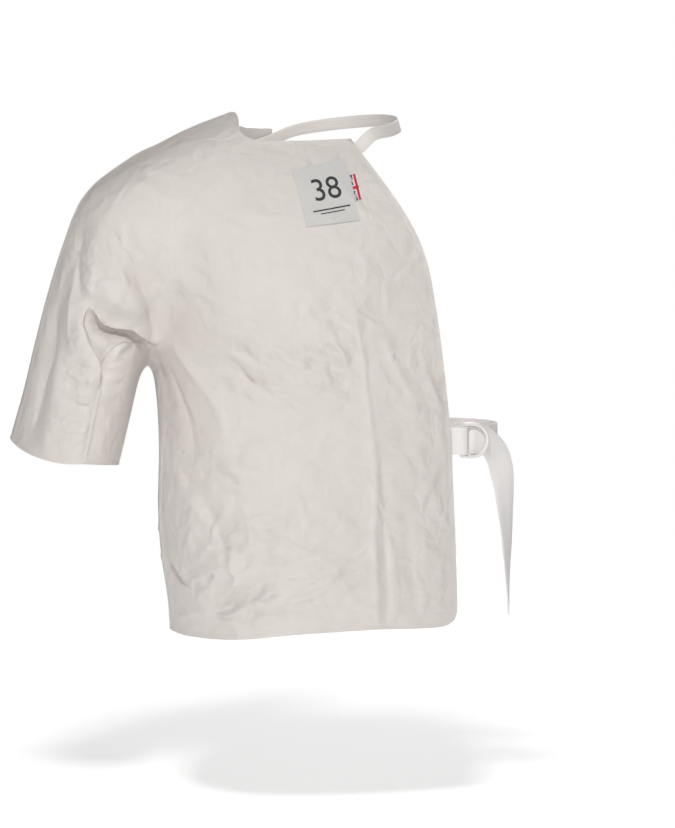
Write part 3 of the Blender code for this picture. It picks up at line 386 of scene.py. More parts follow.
ARMPIT_FOLD = [(-240, -31, -171), (-234, -33, -177), (-221, -32, -185), (-211, -34, -187), (-199, -34, -189)]
ARMPIT_FOLD += [(-194, -31, -192), (-185, -26, -198), (-175, -21, -206)]
SLEEVE_ROLL = [(-238, -33, -168), (-243, -31, -176), (-246, -32, -190), (-243, -34, -201), (-238, -36, -211)]
SLEEVE_ROLL += [(-233, -36, -220), (-231, -33, -234), (-230, -30, -250)]
FRONT_CREASES = [
    # out, half_width, the line: broad folds of the upper sleeve and shoulder
    (-3.9, 6.0, [(-240, -11, -98), (-245, -14, -122), (-247, -22, -148), (-246, -30, -166)]),
    (3.6, 6.0, [(-232, -22, -112), (-236, -30, -140), (-236, -34, -164)]),
    (3.0, 6.0, [(-246, -14, -130), (-252, -20, -160), (-255, -22, -190), (-250, -27, -216)]),
    (-3.9, 6.5, [(-257, -1, -161), (-261, 4, -188), (-265, 1, -214), (-269, 6, -229), (-278, 10, -275)]),
    (2.4, 5.0, [(-252, 0, -130), (-262, 0, -170), (-270, 2, -220)]),
    (-2.8, 2.4, [(-220, -42, -110), (-212, -45, -122), (-205, -47, -138),
                 (-198, -45, -152), (-187, -36, -179), (-178, -25, -200)]),
    (3.2, 5.0, [(-226, -40, -112), (-218, -45, -134), (-208, -44, -158), (-194, -38, -182)]),
    (-2.4, 3.6, [(-230, -38, -104), (-220, -44, -112), (-214, -46, -118)]),
    (2.1, 9.0, [(-205, -50, -92), (-190, -56, -130), (-178, -46, -176)]),
    # drawn lines in the hollow, up from the underarm seam to the fold
    (2.9, 2.2, [(-219, -35, -190), (-225, -36, -201), (-231, -35, -214)]),
    (3.1, 2.6, [(-221, -35, -219), (-213, -36, -208), (-202, -33, -201), (-190, -26, -199)]),
    (-2.2, 2.6, [(-226, -35, -214), (-218, -36, -204), (-208, -35, -197)]),
    (-2.6, 3.0, [(-212, -34, -214), (-203, -30, -208), (-194, -26, -205)]),
    # puckers across the underarm seam and down the inner sleeve
    (1.8, 2.0, [(-238, -33, -222), (-224, -33, -224), (-212, -28, -222)]),
    (-1.8, 2.0, [(-223, -32, -227), (-213, -29, -229), (-204, -26, -227)]),
    (1.4, 2.2, [(-230, -31, -232), (-218, -30, -234), (-207, -26, -232)]),
    (-1.8, 2.0, [(-224, -31, -238), (-216, -29, -240), (-208, -25, -238)]),
    (1.4, 2.6, [(-232, -29, -246), (-220, -27, -248), (-209, -22, -244)]),
    (-1.4, 2.0, [(-232, -29, -253), (-223, -27, -257), (-212, -20, -254)]),
    (1.8, 5.0, [(-216, -25, -262), (-222, -23, -282), (-228, -20, -306)]),
    (-1.7, 2.0, [(-254, -24, -220), (-249, -29, -222), (-240, -32, -224)]),
    (1.7, 2.6, [(-258, -20, -228), (-249, -26, -231), (-238, -32, -228)]),
    (-1.8, 2.0, [(-257, -20, -239), (-248, -27, -241), (-240, -30, -238)]),
    (2.0, 4.0, [(-260, -17, -246), (-247, -26, -248), (-232, -30, -246)]),
    (-1.8, 2.6, [(-258, -18, -254), (-247, -26, -257), (-233, -29, -253)]),
    (1.8, 4.0, [(-264, -14, -264), (-252, -23, -268), (-238, -27, -262)]),
    (-1.8, 2.6, [(-265, -15, -280), (-256, -21, -283), (-245, -25, -281)]),
    (1.8, 3.4, [(-264, -15, -289), (-254, -21, -288), (-241, -25, -293)]),
    (-1.4, 2.4, [(-256, -21, -295), (-248, -23, -291), (-240, -24, -290)]),
    # the fold on the body below the armpit and the broad folds that run down from it
    (-4.9, 3.4, [(-188, -20, -205), (-178, -12, -213), (-170, -6, -225), (-167, -8, -240)]),
    (4.1, 7.0, [(-178, -28, -200), (-162, -45, -213), (-151, -58, -233),
                (-139, -70, -254), (-131, -75, -285), (-130, -74, -320)]),
    (-4.3, 8.0, [(-168, -26, -226), (-162, -38, -249), (-156, -46, -270), (-153, -50, -310)]),
    (-1.4, 2.0, [(-163, -11, -259), (-161, -30, -257), (-158, -46, -257)]),
    (1.4, 2.0, [(-163, -16, -264), (-160, -34, -263), (-155, -48, -262)]),
    (2.3, 5.0, [(-166, -18, -280), (-162, -30, -320), (-150, -54, -350)]),
    # the slanting crumpled band over the chest
    (3.6, 8.0, [(-140, -82, -186), (-105, -100, -212), (-73, -107, -238), (-38, -112, -262)]),
    (-3.0, 7.0, [(-123, -93, -172), (-87, -108, -191), (-53, -114, -215), (-24, -116, -248)]),
    (-3.0, 8.0, [(-135, -79, -215), (-110, -93, -238), (-81, -103, -260), (-45, -109, -280)]),
    (1.7, 2.2, [(-94, -105, -206), (-74, -108, -222), (-54, -111, -239),
                (-34, -113, -250), (-17, -115, -260)]),
    (2.1, 2.6, [(-57, -115, -181), (-45, -116, -199), (-34, -116, -222), (-26, -115, -250)]),
    (-1.4, 2.6, [(-112, -98, -196), (-92, -104, -218), (-74, -107, -228)]),
    (1.4, 2.2, [(-88, -106, -200), (-80, -107, -218), (-62, -109, -240)]),
    (1.2, 5.0, [(-70, -112, -150), (-56, -116, -176), (-30, -118, -206)]),
    # the pressed crease down the chest and the pulls from the strap's tab
    (2.9, 4.0, [(-31, -118, -160), (-24, -120, -195), (-16, -117, -241), (-12, -115, -275)]),
    (2.6, 3.4, [(-15, -116, -250), (-9, -115, -288), (-6, -114, -318), (-7, -114, -356), (-5, -118, -452)]),
    (-2.5, 5.0, [(-1, -114, -300), (2, -114, -350), (4, -115, -400), (4, -117, -455)]),
    (2.1, 3.0, [(-1, -114, -334), (5, -114, -367), (10, -115, -399), (10, -117, -456)]),
    (-1.8, 6.0, [(22, -114, -340), (26, -113, -390), (30, -114, -440)]),
    (2.3, 3.6, [(-1, -121, -193), (9, -118, -221), (27, -115, -249), (60, -109, -274)]),
    (-1.8, 3.0, [(2, -119, -214), (18, -116, -243), (40, -112, -262)]),
    (2.3, 3.0, [(66, -106, -300), (50, -109, -322), (36, -110, -348)]),
    (-1.8, 2.6, [(66, -106, -308), (50, -110, -332), (42, -110, -352)]),
    (1.8, 4.0, [(66, -106, -288), (40, -111, -296), (8, -114, -318)]),
    (1.4, 3.6, [(58, -108, -260), (44, -111, -240), (36, -113, -214)]),
    # crumples low on the body
    (2.1, 2.0, [(-161, -31, -312), (-154, -48, -340), (-142, -62, -363)]),
    (-2.7, 6.0, [(-150, -55, -330), (-136, -70, -366), (-128, -76, -400)]),
    (-2.5, 2.0, [(-88, -100, -373), (-97, -97, -388), (-105, -93, -404)]),
    (2.1, 2.6, [(-92, -99, -371), (-66, -106, -384), (-38, -112, -396)]),
    (1.9, 3.0, [(-137, -63, -432), (-126, -76, -417), (-112, -87, -402)]),
    (2.1, 3.4, [(-98, -96, -428), (-63, -110, -421), (-26, -114, -404)]),
    (-1.9, 3.0, [(-100, -96, -436), (-70, -107, -428), (-40, -112, -418)]),
    (1.6, 2.4, [(-77, -106, -446), (-63, -110, -433), (-48, -112, -429)]),
    (2.7, 3.6, [(-163, -6, -384), (-159, -20, -398), (-152, -38, -412)]),
    (-3.2, 4.0, [(-162, -4, -396), (-156, -24, -412), (-146, -46, -424)]),
    (2.7, 5.0, [(-150, -44, -426), (-134, -66, -410), (-118, -84, -386), (-92, -99, -356)]),
    (-2.7, 5.0, [(-142, -54, -440), (-124, -76, -428), (-108, -90, -412)]),
    (2.5, 3.4, [(-156, -8, -448), (-146, -38, -440), (-128, -70, -438), (-104, -92, -440)]),
    (1.9, 3.4, [(-120, -82, -448), (-90, -100, -438), (-56, -110, -440)]),
    # small creases over the ribs
    (2.4, 2.0, [(-122, -82, -296), (-112, -87, -303), (-101, -92, -298)]),
    (2.4, 2.0, [(-113, -87, -302), (-116, -85, -312), (-119, -83, -322)]),
    (2.0, 2.0, [(-112, -87, -304), (-107, -90, -313), (-104, -92, -322)]),
    (1.1, 2.0, [(-61, -75, -34), (-55, -76, -36), (-48, -77, -34)]),
]
FRONT_FIELDS = [
    # x, z, spread_x, spread_z, count, slant, turn, length, out, half_width
    (-124, -404, 32, 40, 80, 34, 34, 26, 1.9, 2.3),
    (-66, -418, 48, 26, 50, 14, 20, 32, 1.6, 2.3),
    (-138, -352, 22, 30, 34, 62, 26, 26, 1.7, 2.4),
    (-150, -428, 9, 26, 46, 40, 40, 13, 1.7, 2.4),
    (-156, -360, 6, 50, 26, 70, 30, 12, 1.3, 2.6),
    (-82, -226, 46, 24, 76, -38, 18, 22, 1.9, 2.2),
    (-84, -376, 40, 22, 34, 40, 40, 24, 1.7, 2.4),
    (-120, -306, 28, 26, 20, 30, 60, 20, 1.5, 2.6),
    (-40, -206, 24, 30, 30, -60, 20, 26, 2.0, 2.3),
    (-20, -300, 60, 110, 26, -70, 24, 44, 1.2, 3.6),
    (-90, -130, 80, 60, 26, -60, 26, 46, 1.2, 4.2),
    (40, -262, 20, 26, 20, -30, 40, 20, 1.5, 3.0),
    (40, -390, 22, 60, 12, 80, 20, 40, 1.0, 4.0),
    (-252, -236, 14, 56, 44, -6, 18, 15, 1.7, 2.0),
    (-230, -128, 16, 26, 22, -70, 20, 22, 1.7, 2.4),
    (-160, -110, 40, 50, 20, -50, 20, 40, 1.4, 3.6),
    (-106, -312, 52, 26, 60, 20, 34, 26, 1.3, 3.0),
    (-46, -330, 34, 36, 24, -50, 30, 30, 1.1, 3.0),
]
FRONT_CRUMPLED = [
    # left, right, bottom, top
    (-170, -22, -444, -344),
    (-130, -8, -280, -174),
    (-264, -184, -296, -112),
    (-168, -138, -320, -205),
    (-14, 8, -455, -215),
]

front = outer_skin("front", "front_cloth")
front_cut, front_area = cut_to_size(front)
refined(front, 2)
halved(front, in_boxes(FRONT_CRUMPLED))
halved(front, near_line(ARMPIT_FOLD + SLEEVE_ROLL, 8.0))
front_rows = FRONT_CREASES + crumples(front, FRONT_FIELDS, 5)


# A turned edge stands up a little, and its row of stitches, STITCH_INSET in, lies sunk. In millimetres.
ROLL_HEIGHT, ROLL_WIDTH = 0.25, 1.4
SINK_DEPTH, SINK_WIDTH, STITCH_INSET = 0.3, 1.1, 2.6


def rim_gap(piece):
    """How far each point of a skin is from its rim, in millimetres."""
    mesh = piece.data
    uses = {}
    for face in mesh.polygons:
        for key in face.edge_keys:
            uses[key] = uses.get(key, 0) + 1
    edges = [key for key, n in uses.items() if n == 1]
    rim = KDTree(3 * len(edges))
    for a, b in edges:
        for share in (0.0, 0.33, 0.67):
            rim.insert(mesh.vertices[a].co.lerp(mesh.vertices[b].co, share), a)
    rim.balance()
    return np.array([rim.find(v.co)[2] for v in mesh.vertices]) / MM


def hemmed(piece):
    """Rolls the turned edge a little and sinks the line where it is sewn down."""
    gap = rim_gap(piece)
    points, normals = shape_of(piece)
    roll = ROLL_HEIGHT * np.exp(-((gap / ROLL_WIDTH) ** 2))
    sink = SINK_DEPTH * np.exp(-(((gap - STITCH_INSET) / SINK_WIDTH) ** 2))
    points += ((roll - sink) * MM)[:, None] * normals
    piece.data.vertices.foreach_set("co", points.ravel())
    piece.data.update()
    return gap


def body_normals():
    """Points of both panels with their normals, so that a fold crosses a seam without a step."""
    guides = []
    for node in ("front", "back"):
        guide = outer_skin(node, node + "_guide")
        refined(guide, 1)
        guides.append(np.hstack(shape_of(guide)))
        bpy.data.objects.remove(guide)
    guides = np.vstack(guides)
    tree = KDTree(len(guides))
    for i, row in enumerate(guides):
        tree.insert(row[:3], i)
    tree.balance()
    return guides, tree


GUIDES, GUIDE_TREE = body_normals()
SEAM_ZONE = 12.0  # millimetres from a rim within which both panels share their normals
EVEN_OVER = 0.008  # metres over which those normals are averaged


def folded(piece, rows):
    """Lays the two deep tucks of the sleeve and then the rows of creases."""
    points, normals = shape_of(piece)
    edge = np.nonzero(rim_gap(piece) < SEAM_ZONE)[0]
    around = [[i for _, i, _ in GUIDE_TREE.find_range(p, EVEN_OVER)] for p in points[edge]]
    even = np.array([GUIDES[near, 3:].sum(0) for near in around])
    even = np.where(np.linalg.norm(even, axis=1)[:, None] > 0, even, normals[edge])
    steady = edge, even / np.linalg.norm(even, axis=1)[:, None]
    tuck(piece, steady, ARMPIT_FOLD, toward=(0, 0, 1), out=4.2, into=9.0, drop=4.6,
         reach_over=8.0, reach_under=12.0, ends=(0.26, 0.12))
    tuck(piece, steady, SLEEVE_ROLL, toward=(-1, 0, 0), out=3.0, into=5.5, drop=2.0,
         reach_over=6.0, reach_under=9.0, ends=(0.38, 0.35))
    crease(piece, rows, steady)


STITCH_PITCH, STITCH_LENGTH, THREAD = 0.0027, 0.0021, 0.0002  # in metres, the thread's radius last


def row_lines(piece, gap):
    """Lines over a skin that keep the stitching's distance from its rim, as points with normals."""
    mesh = piece.data
    points, normals = shape_of(piece)
    links = {}
    for face in mesh.polygons:
        met = [key for key in face.edge_keys if (gap[key[0]] > STITCH_INSET) != (gap[key[1]] > STITCH_INSET)]
        if len(met) == 2:
            links.setdefault(met[0], []).append(met[1])
            links.setdefault(met[1], []).append(met[0])
    lines, used = [], set()
    for start in sorted(links, key=lambda key: (len(links[key]), key)):
        if start in used:
            continue
        chain = [start]
        used.add(start)
        while True:
            onward = [key for key in links[chain[-1]] if key not in used]
            if not onward:
                break
            chain.append(onward[0])
            used.add(onward[0])
        if len(chain) > 8:
            a, b = (np.array([key[i] for key in chain]) for i in (0, 1))
            share = ((STITCH_INSET - gap[a]) / (gap[b] - gap[a]))[:, None]
            lines.append(np.hstack([points[a] + share * (points[b] - points[a]), normals[a]]))
    return lines


def stitched(name, lines, material):
    """Short plump stitches of thread lying along lines, as one mesh."""
    points, faces = [], []
    for line in lines:
        at = np.r_[0, np.cumsum(np.linalg.norm(np.diff(line[:, :3], axis=0), axis=1))]
        for begin in np.arange(0, at[-1] - STITCH_LENGTH, STITCH_PITCH):
            stations = begin + STITCH_LENGTH * np.array((0.0, 0.22, 0.78, 1.0))
            spine = np.column_stack([np.interp(stations, at, line[:, k]) for k in range(6)])
            along = spine[-1, :3] - spine[0, :3]
            up = spine[1, 3:] / np.linalg.norm(spine[1, 3:])
            across = np.cross(along, up)
            across /= np.linalg.norm(across) + 1e-9
            base = len(points)
            for k, lift in ((0, -0.6), (1, 0.55), (2, 0.55), (3, -0.6)):
                middle = spine[k, :3] + lift * THREAD * up
                if k in (0, 3):
                    points.append(middle)
                else:
                    for turn in range(5):
                        angle = 2 * math.pi * turn / 5
                        points.append(middle + THREAD * (math.cos(angle) * across + math.sin(angle) * up))
            for k in range(5):
                j = (k + 1) % 5
                faces.append((base, base + 1 + j, base + 1 + k))
                faces.append((base + 1 + k, base + 1 + j, base + 6 + j, base + 6 + k))
                faces.append((base + 6 + k, base + 6 + j, base + 11))
    mesh = bpy.data.meshes.new(name)
    mesh.from_pydata([tuple(p) for p in points], [], faces)
    mesh.materials.append(material)
    piece = bpy.data.objects.new(name, mesh)
    bpy.context.scene.collection.objects.link(piece)
    bpy.ops.object.select_all(action="DESELECT")
    piece.select_set(True)
    bpy.context.view_layer.objects.active = piece
    bpy.ops.object.mode_set(mode="EDIT")
    bpy.ops.mesh.select_all(action="SELECT")
    bpy.ops.mesh.normals_make_consistent(inside=False)
    bpy.ops.object.mode_set(mode="OBJECT")
    bpy.ops.object.shade_smooth()
    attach(piece, "root")


def walled(piece, thickness, material):
    """Gives a skin its thickness inwards and smooth shading."""
    bpy.context.view_layer.objects.active = piece
    wall = piece.modifiers.new("wall", "SOLIDIFY")
    wall.thickness, wall.offset, wall.use_even_offset = thickness, -1.0, False
    bpy.ops.object.modifier_apply(modifier="wall")
    piece.data.materials.append(material)
    bpy.ops.object.select_all(action="DESELECT")
    piece.select_set(True)
    bpy.ops.object.shade_smooth_by_angle(angle=math.radians(60))


thread, thread_shader = finish("sewing_thread", 0.5, 0.1, 0.4)
thread_tone = mixed(noise(on_object(), 30.0), (0.74, 0.70, 0.67, 1), (0.82, 0.79, 0.765, 1))
feed(thread_shader, "Base Color", thread_tone)

folded(front, front_rows)
stitched("front_stitching", row_lines(front, hemmed(front)), thread)
front_skin = surface_of(front)
walled(front, CLOTH_WALL, SATIN)
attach(front, "root")
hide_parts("front")

# BACK. The part back covers the shoulder blade and the side, cut in one with the sleeve's back half.
# It is the same cloth, and meets the front at the shoulder, overarm, underarm and side seams.
BACK_CREASES = [
    # out, half_width, the line
    (4.3, 6.0, [(-262, 62, -120), (-272, 72, -190), (-280, 78, -275)]),
    (-4.3, 6.0, [(-240, 84, -140), (-248, 94, -210), (-252, 97, -290)]),
    (4.0, 5.0, [(-222, 84, -150), (-222, 92, -200), (-220, 92, -260)]),
    (-5.8, 5.0, [(-206, 68, -150), (-192, 60, -180), (-180, 48, -206)]),
    (5.4, 5.0, [(-216, 76, -150), (-200, 68, -190), (-186, 56, -214)]),
    (4.3, 6.0, [(-192, 88, -120), (-172, 92, -180), (-150, 92, -240)]),
    (-3.6, 7.0, [(-164, 96, -100), (-146, 98, -160), (-128, 98, -230)]),
    (3.2, 7.0, [(-130, 100, -180), (-110, 102, -250), (-104, 98, -330)]),
    (3.6, 6.0, [(-150, 62, -320), (-148, 62, -380), (-142, 60, -446)]),
    (3.6, 6.0, [(-158, 36, -236), (-146, 58, -280), (-128, 76, -330)]),
    (-3.2, 6.0, [(-154, 50, -260), (-136, 74, -310), (-120, 84, -370)]),
    (2.6, 7.0, [(-100, 104, -70), (-98, 105, -130), (-94, 104, -210)]),
    (-2.5, 3.0, [(-150, 58, -396), (-130, 74, -388), (-110, 84, -392)]),
    (2.6, 3.0, [(-148, 60, -420), (-128, 76, -410), (-106, 86, -416)]),
]
BACK_FIELDS = [
    # x, z, spread_x, spread_z, count, slant, turn, length, out, half_width
    (-128, -398, 26, 46, 50, 50, 30, 28, 1.4, 2.4),
    (-130, -210, 30, 70, 36, -50, 20, 36, 1.2, 3.4),
    (-110, -90, 60, 40, 24, -30, 24, 44, 0.9, 4.0),
    (-240, -236, 24, 54, 50, -50, 40, 22, 1.2, 2.2),
    (-130, -310, 30, 40, 26, 40, 40, 30, 1.1, 3.4),
]
BACK_CRUMPLED = [
    # left, right, bottom, top
    (-300, -195, -300, -195),
    (-160, -90, -446, -350),
]
back = outer_skin("back", "back_cloth")
back_cut, back_area = cut_to_size(back)
refined(back, 2)
halved(back, in_boxes(BACK_CRUMPLED))
folded(back, front_rows + BACK_CREASES + crumples(back, BACK_FIELDS, 11, from_front=False))
stitched("back_stitching", row_lines(back, hemmed(back)), thread)
walled(back, CLOTH_WALL, SATIN)
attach(back, "root")
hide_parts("back")


# NECK TAPE. A narrow ribbed tape, sewn under the front's neck corner and under the nape corner, goes
# round the wearer's left of the neck.
def webbing_finish(name, warm, rib, bar):
    """Woven tape: lengthwise ribs with painted shade in the grooves between them, and fine bars across them.
    """
    material, shader = finish(name, 0.62, 0.2, 0.4)
    u, v = on_cut()
    place = on_object()
    ribs = (u * (2 * math.pi / rib)).sine()
    bars = (v * (2 * math.pi / bar)).sine()
    # The grooves between the ribs are coloured 5 % darker than the ribs: painted shade in the grooves.
    feed(shader, "Base Color", mixed(0.5 + 0.3 * ribs, tuple(0.95 * c for c in warm) + (1,), warm + (1,)))
    feed(shader, "Roughness", 0.55 + 0.12 * noise(place, 200.0))
    bumped(shader, 0.5 * ribs + 0.35 * (ribs * bars) + 0.3 * noise(place, 300.0), 0.0002, 0.5)
    return material


def strip_line(node, width, thick):
    """The middle, width and face directions all along a strip, in order, read from its solid."""
    strip = merged_copy(node, node + "_line")
    points = np.array([v.co for v in strip.data.vertices])
    links = [tuple(e.vertices) for e in strip.data.edges]
    bpy.data.objects.remove(strip)
    thin, wide, owner = {}, {}, {}
    for a, b in links:
        length = np.linalg.norm(points[a] - points[b])
        for partners, size in ((thin, thick), (wide, width)):
            if abs(length - size) < SAME_LENGTH:
                partners[a], partners[b] = b, a
    stations = []
    for a in range(len(points)):
        if a not in owner:
            group = [a, thin[a], wide[a], thin[wide[a]]]
            owner.update({i: len(stations) for i in group})
            stations.append(group)
    neighbours = [set() for _ in stations]
    for a, b in links:
        if owner[a] != owner[b]:
            neighbours[owner[a]].add(owner[b])
            neighbours[owner[b]].add(owner[a])
    order = [next(i for i, near in enumerate(neighbours) if len(near) == 1)]
    while len(order) < len(stations):
        order.append(next(i for i in neighbours[order[-1]] if i not in order[-2:]))
    rows = []
    for i in order:
        corner, other_face, other_edge, _ = (points[k] for k in stations[i])
        across, out = other_edge - corner, corner - other_face
        if rows:
            across = across * np.sign(across @ rows[-1][1])
            out = out * np.sign(out @ rows[-1][2])
        rows.append((points[stations[i]].mean(0), across / np.linalg.norm(across), out / np.linalg.norm(out)))
    return np.array(rows)


STRIP_SECTION = [
    # share of the width, share of the thickness
    (-0.5, -0.25), (-0.47, -0.5), (-0.24, -0.5), (0.0, -0.5), (0.24, -0.5), (0.47, -0.5), (0.5, -0.25),
    (0.5, 0.25), (0.47, 0.5), (0.24, 0.5), (0.0, 0.5), (-0.24, 0.5), (-0.47, 0.5), (-0.5, 0.25),
]


def webbing(name, rows, width, thick, material):
    """A woven strip along its line, three rings to a station, with soft edges and its own cut as UV."""
    steps = np.linalg.norm(np.diff(rows[:, 0], axis=0), axis=1)
    at = np.r_[0.0, np.cumsum(steps)]
    fine = np.linspace(0, at[-1], 3 * len(rows))
    slopes = np.gradient(rows, at, axis=0)
    i = np.clip(np.searchsorted(at, fine) - 1, 0, len(at) - 2)
    span = (at[i + 1] - at[i])[:, None, None]
    t = ((fine - at[i]) / (at[i + 1] - at[i]))[:, None, None]
    line = (
        rows[i] * (1 + 2 * t) * (1 - t) ** 2
        + slopes[i] * span * t * (1 - t) ** 2
        + rows[i + 1] * t * t * (3 - 2 * t)
        + slopes[i + 1] * span * t * t * (t - 1)
    )
    middle, across, out = line[:, 0], line[:, 1], line[:, 2]
    count = len(STRIP_SECTION)
    points = np.concatenate([
        [m + u * width * a + v * thick * o for u, v in STRIP_SECTION]
        for m, a, o in zip(middle, across, out)
    ])
    faces = [tuple(range(count)), tuple(range(len(points) - 1, len(points) - 1 - count, -1))]
    for ring in range(len(line) - 1):
        for k in range(count):
            j = (k + 1) % count
            faces.append((ring * count + k, (ring + 1) * count + k, (ring + 1) * count + j, ring * count + j))
    mesh = bpy.data.meshes.new(name)
    mesh.from_pydata([tuple(p) for p in points], [], faces)
    uv = mesh.uv_layers.new(name="UVMap")
    for loop, vertex in enumerate(v for face in mesh.polygons for v in face.vertices):
        ring, k = divmod(vertex, count)
        uv.data[loop].uv = (STRIP_SECTION[k][0] * width, fine[ring])
    mesh.materials.append(material)
    piece = bpy.data.objects.new(name, mesh)
    bpy.context.scene.collection.objects.link(piece)
    bpy.ops.object.select_all(action="DESELECT")
    piece.select_set(True)
    bpy.context.view_layer.objects.active = piece
    bpy.ops.object.mode_set(mode="EDIT")
    bpy.ops.mesh.select_all(action="SELECT")
    bpy.ops.mesh.normals_make_consistent(inside=False)
    bpy.ops.object.mode_set(mode="OBJECT")
    bpy.ops.object.shade_smooth_by_angle(angle=math.radians(50))
    return piece, at[-1]


NECK_TAPE = (0.0115, 0.0012)
tape_cloth = webbing_finish("ribbed_tape", (0.83, 0.785, 0.75), 0.0029, 0.0009)
tape, tape_length = webbing("neck_tape_woven", strip_line("neck_tape", *NECK_TAPE), *NECK_TAPE, tape_cloth)
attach(tape, "root")
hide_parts("neck_tape")

# WAIST STRAP. Flat 24 mm webbing is sewn under the back's edge, runs round the wearer's left side and
# is threaded up through both rings and back between them, so that its free end hangs.
STRAP = (0.024, 0.0015)
strap_cloth = webbing_finish("waist_webbing", (0.87, 0.835, 0.82), 0.0016, 0.0012)
strap, strap_length = webbing("waist_strap_woven", strip_line("waist_strap", *STRAP), *STRAP, strap_cloth)
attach(strap, "root")
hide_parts("waist_strap")

# RING TAB AND RINGS. A folded piece of the same webbing, sewn under the front's left edge, holds a
# pair of moulded white D rings by their straight bars.
tab = merged_copy("ring_tab", "ring_tab_woven")
bpy.ops.object.mode_set(mode="EDIT")
bpy.ops.mesh.select_all(action="SELECT")
bpy.ops.mesh.tris_convert_to_quads(face_threshold=math.radians(70), shape_threshold=math.radians(70))
bpy.ops.mesh.select_all(action="DESELECT")
bpy.ops.mesh.select_mode(type="EDGE")
bpy.ops.mesh.edges_select_sharp(sharpness=math.radians(50))
bpy.ops.mesh.bevel(offset=0.0004, segments=2)
bpy.ops.mesh.select_all(action="SELECT")
bpy.ops.uv.cube_project(cube_size=1.0, scale_to_bounds=False)
bpy.ops.object.mode_set(mode="OBJECT")
tab.data.materials.append(strap_cloth)
bpy.ops.object.shade_smooth_by_angle(angle=math.radians(50))
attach(tab, "root")
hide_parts("ring_tab")

plastic, plastic_shader = finish("moulded_ring", 0.28)
plastic_shader.inputs["Subsurface Weight"].default_value = 0.15
plastic_tone = mixed(noise(on_object(), 60.0), (0.80, 0.78, 0.74, 1), (0.86, 0.84, 0.80, 1))
feed(plastic_shader, "Base Color", plastic_tone)
feed(plastic_shader, "Roughness", 0.22 + 0.16 * noise(on_object(), 240.0))
for node in ("ring_lower", "ring_upper"):
    ring = merged_copy(node, node + "_moulded")
    bpy.ops.object.mode_set(mode="EDIT")
    bpy.ops.mesh.select_all(action="SELECT")
    bpy.ops.mesh.tris_convert_to_quads(face_threshold=math.radians(70), shape_threshold=math.radians(70))
    bpy.ops.object.mode_set(mode="OBJECT")
    refined(ring, 2)
    ring.data.materials.append(plastic)
    bpy.ops.object.shade_smooth()
    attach(ring, "root")
    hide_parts(node)


# LABEL AND FLAG TAB. A pale grey woven label is sewn flat on the upper chest, with plain size numbers
# where the printing goes, and a folded flag ribbon is caught beside it.
def laid_on(node, name, wall, lift, cuts):
    """A thin patch's outer face, brought down onto the dressed cloth and refined."""
    piece = merged_copy(node, name)
    shape = bmesh.new()
    shape.from_mesh(piece.data)
    facing = [f for f in shape.faces if f.normal.y > -0.35]
    bmesh.ops.delete(shape, geom=facing, context="FACES")
    shape.to_mesh(piece.data)
    shape.free()
    bpy.ops.object.mode_set(mode="EDIT")
    bpy.ops.mesh.select_all(action="SELECT")
    bpy.ops.mesh.tris_convert_to_quads(face_threshold=math.radians(70), shape_threshold=math.radians(70))
    bpy.ops.mesh.subdivide(number_cuts=cuts)
    bpy.ops.object.mode_set(mode="OBJECT")
    for vertex in piece.data.vertices:
        met = front_skin.ray_cast(Vector((vertex.co.x, -0.3, vertex.co.z)), Vector((0, 1, 0)))[0]
        vertex.co = met - Vector((0, lift + wall, 0))
    piece.data.update()
    return piece


def straight_uv(piece, corners):
    """UV from 0 to 1 across and up a four-cornered patch, whose corners are given by x and z."""
    top_left, top_right, bottom_right, bottom_left = (np.array(c) * MM for c in corners)
    uv = piece.data.uv_layers.new(name="UVMap")
    across = 0.5 * (top_right + bottom_right - top_left - bottom_left)
    up = 0.5 * (top_left + top_right - bottom_left - bottom_right)
    frame_2d = np.linalg.inv(np.column_stack([across, up]))
    middle = 0.25 * (top_left + top_right + bottom_left + bottom_right)
    for loop, vertex in enumerate(v for face in piece.data.polygons for v in face.vertices):
        co = piece.data.vertices[vertex].co
        uv.data[loop].uv = frame_2d @ (np.array((co.x, co.z)) - middle) + 0.5


LABEL_CORNERS = [(-72.5, -53.8), (-23.8, -43.1), (-18.4, -96.8), (-65.7, -102.5)]
label = laid_on("label", "size_label", 0.0006, 0.0004, 7)
straight_uv(label, LABEL_CORNERS)
woven, woven_shader = finish("woven_label", 0.6, 0.15, 0.35)
label_u, label_v = on_cut()
picks = (label_v * (2 * math.pi * 52)).sine()
ends = (label_u * (2 * math.pi * 110)).sine()
# The grooves between the picks are coloured darker than the picks: painted shade in the grooves.
feed(woven_shader, "Base Color", mixed(0.5 + 0.5 * picks, (0.64, 0.63, 0.605, 1), (0.72, 0.71, 0.685, 1)))
feed(woven_shader, "Roughness", 0.5 + 0.2 * noise(on_object(), 160.0))
bumped(woven_shader, 0.8 * picks + 0.3 * ends, 0.0002, 0.6)
label_face = surface_of(label)
walled(label, 0.0006, woven)
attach(label, "root")
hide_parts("label")

bpy.ops.object.select_all(action="DESELECT")
bpy.ops.object.text_add()
size_mark = bpy.context.object
size_mark.name = "size_number"
size_mark.data.body, size_mark.data.size = "38", 0.027
size_mark.data.align_x, size_mark.data.align_y = "CENTER", "CENTER"
bpy.ops.object.convert(target="MESH")
bpy.ops.object.mode_set(mode="EDIT")
bpy.ops.mesh.select_all(action="SELECT")
for place, long, high in ((-0.0165, 0.034, 0.0011), (-0.0195, 0.022, 0.0008)):
    bpy.ops.mesh.primitive_grid_add(x_subdivisions=8, y_subdivisions=1, size=1.0, location=(0, 0, 0))
    bpy.ops.transform.resize(value=(long, high, 1))
    bpy.ops.transform.translate(value=(0, place, 0))
bpy.ops.mesh.select_all(action="SELECT")
bpy.ops.mesh.quads_convert_to_tris()
bpy.ops.object.mode_set(mode="OBJECT")
label_middle = 0.25 * sum(np.array(c) for c in LABEL_CORNERS) * MM + np.array((0.0, 0.004))
lean = math.radians(10.0)
